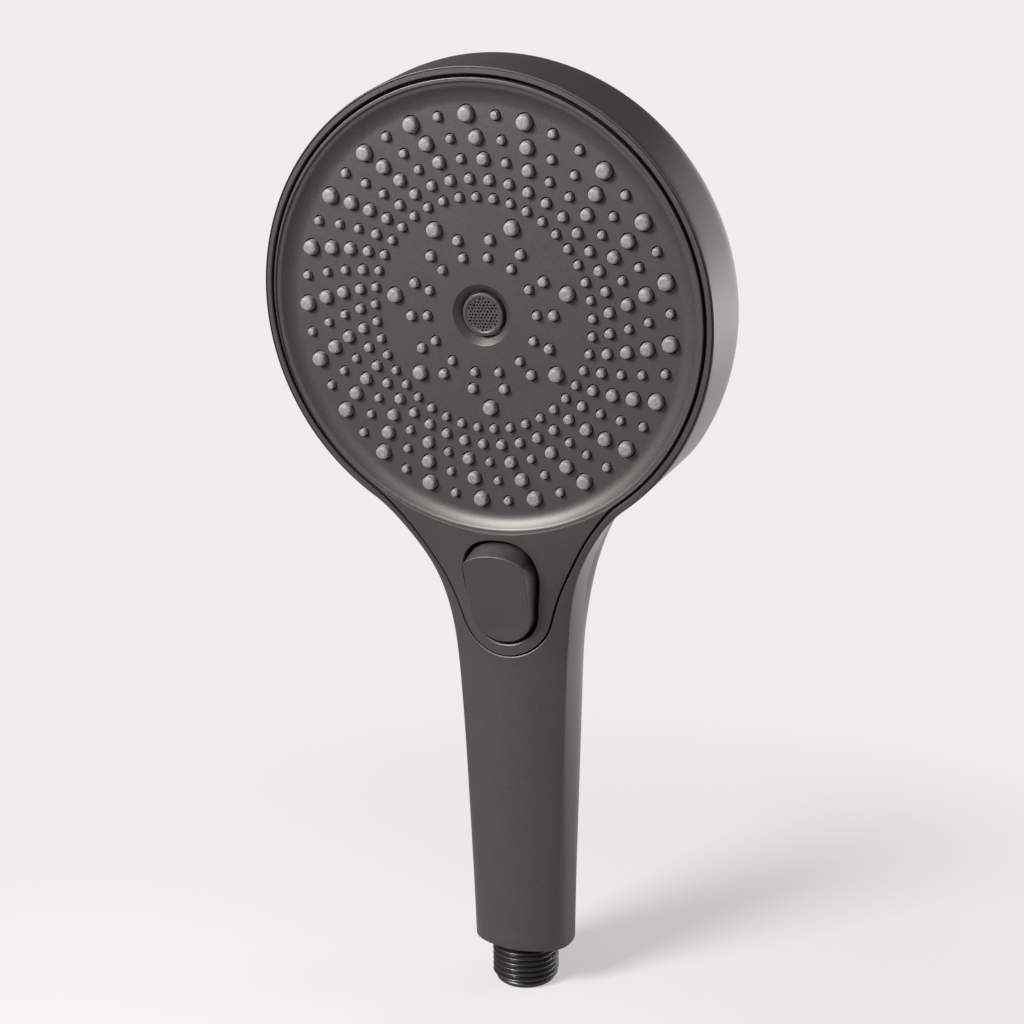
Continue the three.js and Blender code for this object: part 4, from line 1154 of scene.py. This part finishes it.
class SHOWER_OT_button(bpy.types.Operator):
    """Build the button: wedge with a thumb dish, lugs for the pin and a rib"""

    bl_idname = "shower.button"
    bl_label = "Button"

    def execute(self, context):
        s = context.scene.shower_button
        top, end, dish = s.proud_top / MM, s.proud_end / MM, s.dish / MM
        end_v = BUTTON_END_V - 10
        span = BUTTON_TOP_V + BUTTON_TOP_RADIUS - end_v

        def face_point(x, v):
            proud = end + (top - end) * (v - end_v) / span
            far = (x / THUMB_HALF_WIDTH) ** 2 + ((v - THUMB_V) / THUMB_HALF_LENGTH) ** 2
            return at_face(x, dish * math.exp(-far) - proud, v)

        rows = []
        for (fx, fv), (sx, sv) in zip(button_face_outline(), button_outline(BUTTON_SKIRT_INSET)):
            edge = face_point(fx, fv)
            front = [face_point(fx * t, BUTTON_MIDDLE_V + (fv - BUTTON_MIDDLE_V) * t)
                     for t in [k / 24 for k in range(25)]]
            foot = on_front(sx, sv) + DEPTH_WAY * 0.35
            side = [edge.lerp(foot, k / 8) for k in range(9)]
            skirt = at_face(sx, 3.0, sv)
            side += [foot.lerp(skirt, k / 3) for k in range(1, 4)]
            middle = at_face(0, 3.0, BUTTON_MIDDLE_V)
            side += [skirt.lerp(middle, k / 4) for k in range(1, 5)]
            rows.append(section(front, side, 0.3))
        on_middle(rows[0], rows[-1])
        button = two_sided("button_fine", rows)
        self.add_lugs(button)
        tidy_mesh(button)
        smooth_shade(button)
        finish_piece(button, "button_fine", "button", charcoal(), "button", "button")
        return {"FINISHED"}

    def add_lugs(self, button):
        """Two lugs with a bore for the pin, and the rib that drives the slide."""
        turn = Matrix((Vector((1, 0, 0)), DEPTH_WAY, UP_WAY)).transposed().to_4x4()
        place = Matrix.Translation(FACE_CENTRE * MM) @ turn
        pivot = PIVOT - FACE_CENTRE
        depth, v = pivot.dot(DEPTH_WAY), pivot.dot(UP_WAY)
        for side in (-1, 1):
            low, high = sorted((LUG_INNER * side, LUG_OUTER * side))
            lug = solid_block("lug", (low, LUG_START, v - LUG_RADIUS),
                              (high, depth + LUG_RADIUS, v + LUG_RADIUS), 0.25, place)
            combine(button, lug, "UNION")
        rib = solid_block("rib", (-2, LUG_START, -75), (2, 10.3, -73), 0.25, place)
        combine(button, rib, "UNION")
        profile = [(0, -5), (PIN_BORE_RADIUS, -5), (PIN_BORE_RADIUS, 5), (0, 5)]
        bore = turned("bore", profile, 24, PIVOT, Vector((0, 1, 0)), Vector((1, 0, 0)))
        combine(button, bore)


class SHOWER_OT_nozzles(bpy.types.Operator):
    """Build the soft mat with all its nozzles"""

    bl_idname = "shower.nozzles"
    bl_label = "Nozzle mat"

    def execute(self, context):
        s = context.scene.shower_spray
        base, share = s.nozzle_base / MM, s.nozzle_share
        stub = turned("stub", NOZZLE, 16)
        stub.data.transform(Matrix.Scale(1 / MM, 4))
        places = []
        for x, v, width in nozzle_places():
            height = base + share * width
            r = width * NOZZLE_VISIBLE / 2 * MM
            scale = Matrix.Diagonal((r, r, height * MM, 1))
            places.append(face_matrix(x, DISH_DEPTH, v) @ scale)
        nozzles = copies(stub, places)
        front, back = PLATE_BACK + 0.3, PLATE_BACK + 1.9
        inner, outer = MAT_INNER_RADIUS, MAT_OUTER_RADIUS
        profile = [(inner, front), (outer - 0.2, front), (outer, front + 0.2), (outer, back),
                   (inner, back), (inner, front)]
        mat = face_turned("mat", profile, 96)
        stems = self.stems(front)
        deselect_all()
        for obj in (mat, stems, nozzles):
            obj.select_set(True)
        bpy.context.view_layer.objects.active = nozzles
        bpy.ops.object.join()
        smooth_shade(nozzles, 50)
        finish_piece(nozzles, "nozzle_mat_fine", "handset", silicone(), "silicone", "nozzle_mat")
        return {"FINISHED"}

    def stems(self, front):
        """Plain tapering roots that join each nozzle to the mat behind the plate."""
        deselect_all()
        bpy.ops.mesh.primitive_cone_add(vertices=12, radius1=1.0, radius2=0.92, depth=1.0)
        stem = bpy.context.object
        length = front + 0.2 - DISH_DEPTH
        places = []
        for x, v, width in nozzle_places():
            r = (width * NOZZLE_VISIBLE / 2 - 0.05) * MM
            scale = Matrix.Diagonal((r, r, length * MM, 1))
            places.append(face_matrix(x, DISH_DEPTH + length / 2, v) @ scale)
        return copies(stem, places)


class SHOWER_OT_mist_insert(bpy.types.Operator):
    """Build the mesh insert in the middle of the spray face"""

    bl_idname = "shower.mist_insert"
    bl_label = "Mesh insert"

    def execute(self, context):
        pitch = context.scene.shower_spray.mesh_pitch / MM
        insert = face_turned("mist_insert_fine", INSERT, 96)
        deselect_all()
        bpy.ops.mesh.primitive_cylinder_add(vertices=10, radius=1.0, depth=2.4 * MM)
        hole = bpy.context.object
        places = []
        for i in range(-MESH_ROWS, MESH_ROWS + 1):
            for k in range(-MESH_ROWS, MESH_ROWS + 1):
                x, v = pitch * (i + k / 2), pitch * k * math.sqrt(0.75)
                if math.hypot(x, v) > MESH_RADIUS:
                    continue
                wobble = 0.06 * math.sin(7.3 * i + 4.1 * k), 0.06 * math.sin(3.9 * i - 5.7 * k)
                r = (MESH_HOLE_RADIUS + 0.05 * math.sin(2.1 * i + 5.3 * k)) * MM
                matrix = face_matrix(x + wobble[0], 4.4, v + wobble[1])
                places.append(matrix @ Matrix.Diagonal((r, r * 0.9, 1, 1)))
        combine(insert, copies(hole, places))
        tidy_mesh(insert)
        smooth_shade(insert)
        finish_piece(insert, "mist_insert_fine", "handset", charcoal(), "mesh_insert", "mist_insert")
        return {"FINISHED"}


class SHOWER_OT_inlet(bpy.types.Operator):
    """Build the inlet nipple with its helical pipe thread"""

    bl_idname = "shower.inlet"
    bl_label = "Inlet nipple"

    def execute(self, context):
        s = context.scene.shower_inlet
        radius, pitch, depth = s.thread_radius / MM, s.thread_pitch / MM, s.thread_depth / MM
        root = radius - depth
        low, high, around = THREAD_LOW, HANDLE_END_Z - 0.4, THREAD_AROUND
        step = pitch / THREAD_STEPS
        bore, barrel, groove = BORE_RADIUS, BARREL_RADIUS, SEAL_GROOVE_RADIUS
        path = [(bore, 31.0), (bore, 0.4), (bore + 0.35, 0.0), (9.0, 0.0), (root + 0.05, 0.3)]
        path += [(None, low + step * i) for i in range(int((high - low) / step) + 1)]
        path += [(root, HANDLE_END_Z - 0.2), (barrel + 0.05, HANDLE_END_Z + 0.1), (barrel, 23.2),
                 (groove, 23.2), (groove, 24.8), (barrel, 24.8), (barrel, 30.1), (groove, 30.1),
                 (groove, 31.7), (barrel, 31.7), (barrel, 39.7), (8.6, 40.0), (5.9, 40.0),
                 (5.6, 39.7), (5.6, 34.0), (bore, 32.0), (bore, 31.0)]

        def thread_radius(angle, z):
            phase = ((z - low) / pitch - angle / (2 * math.pi)) % 1.0
            crest = 0.5 - 0.5 * math.cos(2 * math.pi * phase)
            run_out = 0.9 * pitch
            fade = ease(low - 0.1, low + run_out, z) * (1 - ease(high - run_out, high, z))
            return root + depth * crest * fade

        points, faces, count = [], [], len(path)
        for k in range(around):
            a = 2 * math.pi * k / around
            for r, z in path:
                r = thread_radius(a, z) if r is None else r
                points.append(Vector((r * math.cos(a), r * math.sin(a), z)))
        for k in range(around):
            for j in range(count - 1):
                a, b = k * count + j, ((k + 1) % around) * count + j
                faces.append((a, a + 1, b + 1, b))
        nipple = object_from("inlet_nipple_fine", points, faces)
        smooth_shade(nipple, 40)
        finish_piece(nipple, "inlet_nipple_fine", "handset", satin_black(), "inlet", "inlet_nipple")
        return {"FINISHED"}


class SHOWER_OT_springs(bpy.types.Operator):
    """Build the two coil springs"""

    bl_idname = "shower.springs"
    bl_label = "Springs"

    def execute(self, context):
        wire = SPRING_WIRE
        for node_name, turns, radius, joint, anchor_low in SPRINGS:
            low, high = (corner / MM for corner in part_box(node_name))
            middle = (low + high) / 2
            bottom, top = low.z + wire, high.z - wire
            deselect_all()
            bpy.ops.mesh.primitive_circle_add(
                vertices=12, radius=wire * MM, rotation=(math.pi / 2, 0, 0),
                location=(radius * MM, 0, bottom * MM))
            spring = bpy.context.object
            bpy.ops.object.transform_apply(location=True, rotation=True, scale=True)
            apply_modifier(spring, "SCREW", angle=2 * math.pi * turns, axis="Z",
                           screw_offset=(top - bottom) * MM, steps=28 * turns,
                           render_steps=28 * turns)
            bpy.ops.object.mode_set(mode="EDIT")
            bpy.ops.mesh.select_all(action="SELECT")
            bpy.ops.mesh.fill_holes(sides=16)
            bpy.ops.object.mode_set(mode="OBJECT")
            centre = Vector((0, middle.y if anchor_low else 0.0, 0))
            spring.data.transform(Matrix.Translation(centre * MM))
            tidy_mesh(spring)
            smooth_shade(spring, 50)
            finish_piece(spring, node_name + "_fine", "handset", steel(), "steel", node_name)
            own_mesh(spring)
        return {"FINISHED"}


class SHOWER_OT_inner_parts(bpy.types.Operator):
    """Give the working parts inside their finishes"""

    bl_idname = "shower.inner_parts"
    bl_label = "Inner parts"

    def execute(self, context):
        finishes = {
            "shell": charcoal, "front_plate": charcoal, "button": charcoal, "mesh_insert": charcoal,
            "silicone": silicone, "inlet": satin_black, "steel": steel, "white_plastic": white_acetal,
            "black_plastic": black_nylon, "blue_plastic": blue_acetal, "rubber": sealing_rubber,
        }
        for row in frame["record"]["subparts"]:
            obj = frame["nodes"][row["node"]]
            obj.data.materials.clear()
            obj.data.materials.append(finishes[row["material_slot"]]())
        return {"FINISHED"}


# ---- Stage -----------------------------------------------------------------------------------

CAMERA_AZIMUTH = 22.93
CAMERA_ELEVATION = 12.22
CAMERA_ROLL = -0.8
CAMERA_DISTANCE = 0.4251
CAMERA_TARGET = Vector((0.00957, -0.02906, 0.15786))

# Lights and floor, in metres.
KEY_PLACE = (-0.36, -0.56, 0.56)
KEY_SIZE = 0.3
# Softer lights: name, place, size and power.
FILL_LIGHTS = (
    ("Back light", (0.36, 1.0, 0.4), 0.6, 2.2),
    ("Side light", (0.6, 0.78, 0.04), 0.6, 1.4),
    ("Low right light", (0.85, 0.42, 0.05), 0.35, 10.0),
)
LIGHT_TARGET = Vector((0, 0, 0.15))
FLOOR_COLOUR = (0.64, 0.622, 0.622)
FLOOR_GLOW_SHARE = 0.54
FLOOR_FADE = (0.06, 0.3)  # metres from the object's axis
FLOOR_BEHIND = (0.0, 0.45)
FLOOR_LIGHT = (0.5, 1.9)
SKY_BAND = (0.0, 0.35)  # upward part of a direction over which the surroundings darken
SKY_LIGHT = (0.6, 0.2)


class SHOWER_OT_stage(bpy.types.Operator):
    """Build the pale floor, the soft lights and the camera"""

    bl_idname = "shower.stage"
    bl_label = "Stage"

    def execute(self, context):
        scene = context.scene
        s = scene.shower_stage
        scene.view_settings.view_transform = "Standard"
        scene.view_settings.look = "None"
        self.world(s.backdrop)
        self.floor(s.backdrop)
        self.area("Key light", KEY_PLACE, KEY_SIZE, s.key_power)
        for name, place, size, power in FILL_LIGHTS:
            self.area(name, place, size, power)
        self.camera(s.lens)
        return {"FINISHED"}

    def world(self, colour):
        """Even backdrop for the camera; softer light for the object, brightest near the floor."""
        world = bpy.data.worlds.new("Studio")
        bpy.context.scene.world = world
        world.use_nodes = True
        tree = world.node_tree
        seen = tree.nodes["Background"]
        seen.inputs["Color"].default_value = (*colour, 1)
        light = node(tree, "ShaderNodeBackground", (0, -200))
        light.inputs["Color"].default_value = (*colour, 1)
        way = node(tree, "ShaderNodeTexCoord", (-800, -200))
        parts = node(tree, "ShaderNodeSeparateXYZ", (-600, -200))
        fall = self.smooth_range(tree, (-400, -200), SKY_BAND, SKY_LIGHT)
        path = node(tree, "ShaderNodeLightPath", (-200, 300))
        mix = node(tree, "ShaderNodeMixShader", (250, 0))
        link = tree.links.new
        link(way.outputs["Generated"], parts.inputs[0])
        link(parts.outputs["Z"], fall.inputs["Value"])
        link(fall.outputs["Result"], light.inputs["Strength"])
        link(path.outputs["Is Camera Ray"], mix.inputs[0])
        link(light.outputs[0], mix.inputs[1])
        link(seen.outputs[0], mix.inputs[2])
        link(mix.outputs[0], tree.nodes["World Output"].inputs["Surface"])

    def floor(self, colour):
        """Round floor just below the object."""
        deselect_all()
        bpy.ops.mesh.primitive_circle_add(
            vertices=128, radius=3.0, fill_type="NGON", location=(0, 0, CAD_LOW.z - 0.0001))
        floor = bpy.context.object
        floor.name = "studio_floor"
        settle(floor)
        floor.data.materials.append(self.floor_material(colour))

    def floor_material(self, colour):
        """Pale floor that takes shadows near the object and melts into the backdrop farther out;
        it lights the object a little, more from behind than from the front."""
        material = bpy.data.materials.new("Pale floor")
        material.use_nodes = True
        tree = material.node_tree
        link = tree.links.new
        shader = tree.nodes["Principled BSDF"]
        shader.inputs["Base Color"].default_value = (*FLOOR_COLOUR, 1)
        shader.inputs["Roughness"].default_value = 0.9
        shader.inputs["Specular IOR Level"].default_value = 0.1
        place = node(tree, "ShaderNodeTexCoord", (-900, 300))
        distance = node(tree, "ShaderNodeVectorMath", (-700, 300), operation="LENGTH")
        fade = self.smooth_range(tree, (-500, 300), FLOOR_FADE, (FLOOR_GLOW_SHARE, 1.0))
        parts = node(tree, "ShaderNodeSeparateXYZ", (-900, 700))
        behind = self.smooth_range(tree, (-700, 700), FLOOR_BEHIND, FLOOR_LIGHT)
        path = node(tree, "ShaderNodeLightPath", (-500, 600))
        strength = node(tree, "ShaderNodeMapRange", (-300, 500))
        glow = node(tree, "ShaderNodeEmission", (-100, 300))
        glow.inputs["Color"].default_value = (*colour, 1)
        mix = node(tree, "ShaderNodeMixShader", (150, 200))
        link(place.outputs["Object"], distance.inputs[0])
        link(place.outputs["Object"], parts.inputs[0])
        link(parts.outputs["Y"], behind.inputs["Value"])
        link(behind.outputs["Result"], strength.inputs["To Min"])
        link(path.outputs["Is Camera Ray"], strength.inputs["Value"])
        link(strength.outputs["Result"], glow.inputs["Strength"])
        link(distance.outputs["Value"], fade.inputs["Value"])
        link(fade.outputs["Result"], mix.inputs[0])
        link(shader.outputs[0], mix.inputs[1])
        link(glow.outputs[0], mix.inputs[2])
        link(mix.outputs[0], tree.nodes["Material Output"].inputs["Surface"])
        return material

    def smooth_range(self, tree, place, source, target):
        """Map range node that eases from one range of values to another."""
        made = node(tree, "ShaderNodeMapRange", place, interpolation_type="SMOOTHSTEP")
        made.inputs["From Min"].default_value, made.inputs["From Max"].default_value = source
        made.inputs["To Min"].default_value, made.inputs["To Max"].default_value = target
        return made

    def area(self, name, place, size, power):
        """Round soft light that faces the object."""
        light = bpy.data.lights.new(name, "AREA")
        light.shape = "DISK"
        light.size = size
        light.energy = power
        obj = bpy.data.objects.new(name, light)
        bpy.context.scene.collection.objects.link(obj)
        obj.location = place
        way = LIGHT_TARGET - Vector(place)
        obj.rotation_euler = way.to_track_quat("-Z", "Y").to_euler()

    def camera(self, lens):
        """Camera a little above and to the right of the spray face."""
        data = bpy.data.cameras.new("Camera")
        data.lens = lens
        data.sensor_width = 36
        data.clip_start = 0.01
        camera = bpy.data.objects.new("Camera", data)
        bpy.context.scene.collection.objects.link(camera)
        a, e, r = (math.radians(v) for v in (CAMERA_AZIMUTH, CAMERA_ELEVATION, CAMERA_ROLL))
        back = Vector((math.sin(a) * math.cos(e), -math.cos(a) * math.cos(e), math.sin(e)))
        right = (-back).cross(Vector((0, 0, 1))).normalized()
        up = right.cross(-back)
        across = right * math.cos(r) + up * math.sin(r)
        upright = up * math.cos(r) - right * math.sin(r)
        turn = Matrix((across, upright, back)).transposed().to_4x4()
        camera.matrix_world = Matrix.Translation(CAMERA_TARGET + back * CAMERA_DISTANCE) @ turn
        bpy.context.scene.camera = camera


class SHOWER_PT_panel(bpy.types.Panel):
    """Lists the pieces and their sizes"""

    bl_idname = "SHOWER_PT_panel"
    bl_label = "Shower head"
    bl_space_type = "VIEW_3D"
    bl_region_type = "UI"
    bl_category = "Shower head"

    def draw(self, context):
        for settings, names in SETTINGS_SHOWN:
            box = self.layout.box()
            for name in names:
                box.prop(getattr(context.scene, settings), name)
        for operator in OPERATORS:
            self.layout.operator(operator.bl_idname)


SETTINGS_SHOWN = (
    ("shower_shell", ("rim_rounding", "handle_rounding", "panel_gap", "wall")),
    ("shower_spray", ("nozzle_base", "nozzle_share", "nozzle_clearance", "mesh_pitch")),
    ("shower_button", ("proud_top", "proud_end", "dish")),
    ("shower_inlet", ("thread_radius", "thread_pitch", "thread_depth")),
    ("shower_finish", ("charcoal", "charcoal_gloss", "silicone", "black")),
    ("shower_stage", ("backdrop", "key_power", "lens")),
)
GROUPS = {
    "shower_shell": ShowerShellSettings,
    "shower_spray": ShowerSpraySettings,
    "shower_button": ShowerButtonSettings,
    "shower_inlet": ShowerInletSettings,
    "shower_finish": ShowerFinishSettings,
    "shower_stage": ShowerStageSettings,
}
OPERATORS = (
    SHOWER_OT_rear_shell,
    SHOWER_OT_front_plate,
    SHOWER_OT_nozzles,
    SHOWER_OT_mist_insert,
    SHOWER_OT_button,
    SHOWER_OT_inlet,
    SHOWER_OT_springs,
    SHOWER_OT_inner_parts,
    SHOWER_OT_stage,
)


def register():
    for kind in (*GROUPS.values(), *OPERATORS, SHOWER_PT_panel):
        bpy.utils.register_class(kind)
    for name, kind in GROUPS.items():
        setattr(bpy.types.Scene, name, bpy.props.PointerProperty(type=kind))


def unregister():
    for name in GROUPS:
        delattr(bpy.types.Scene, name)
    for kind in reversed((*GROUPS.values(), *OPERATORS, SHOWER_PT_panel)):
        bpy.utils.unregister_class(kind)


def main():
    register()
    bpy.ops.shower.rear_shell()
    bpy.ops.shower.front_plate()
    bpy.ops.shower.nozzles()
    bpy.ops.shower.mist_insert()
    bpy.ops.shower.button()
    bpy.ops.shower.inlet()
    bpy.ops.shower.springs()
    bpy.ops.shower.inner_parts()
    bpy.ops.shower.stage()


if __name__ == "__main__":
    main()
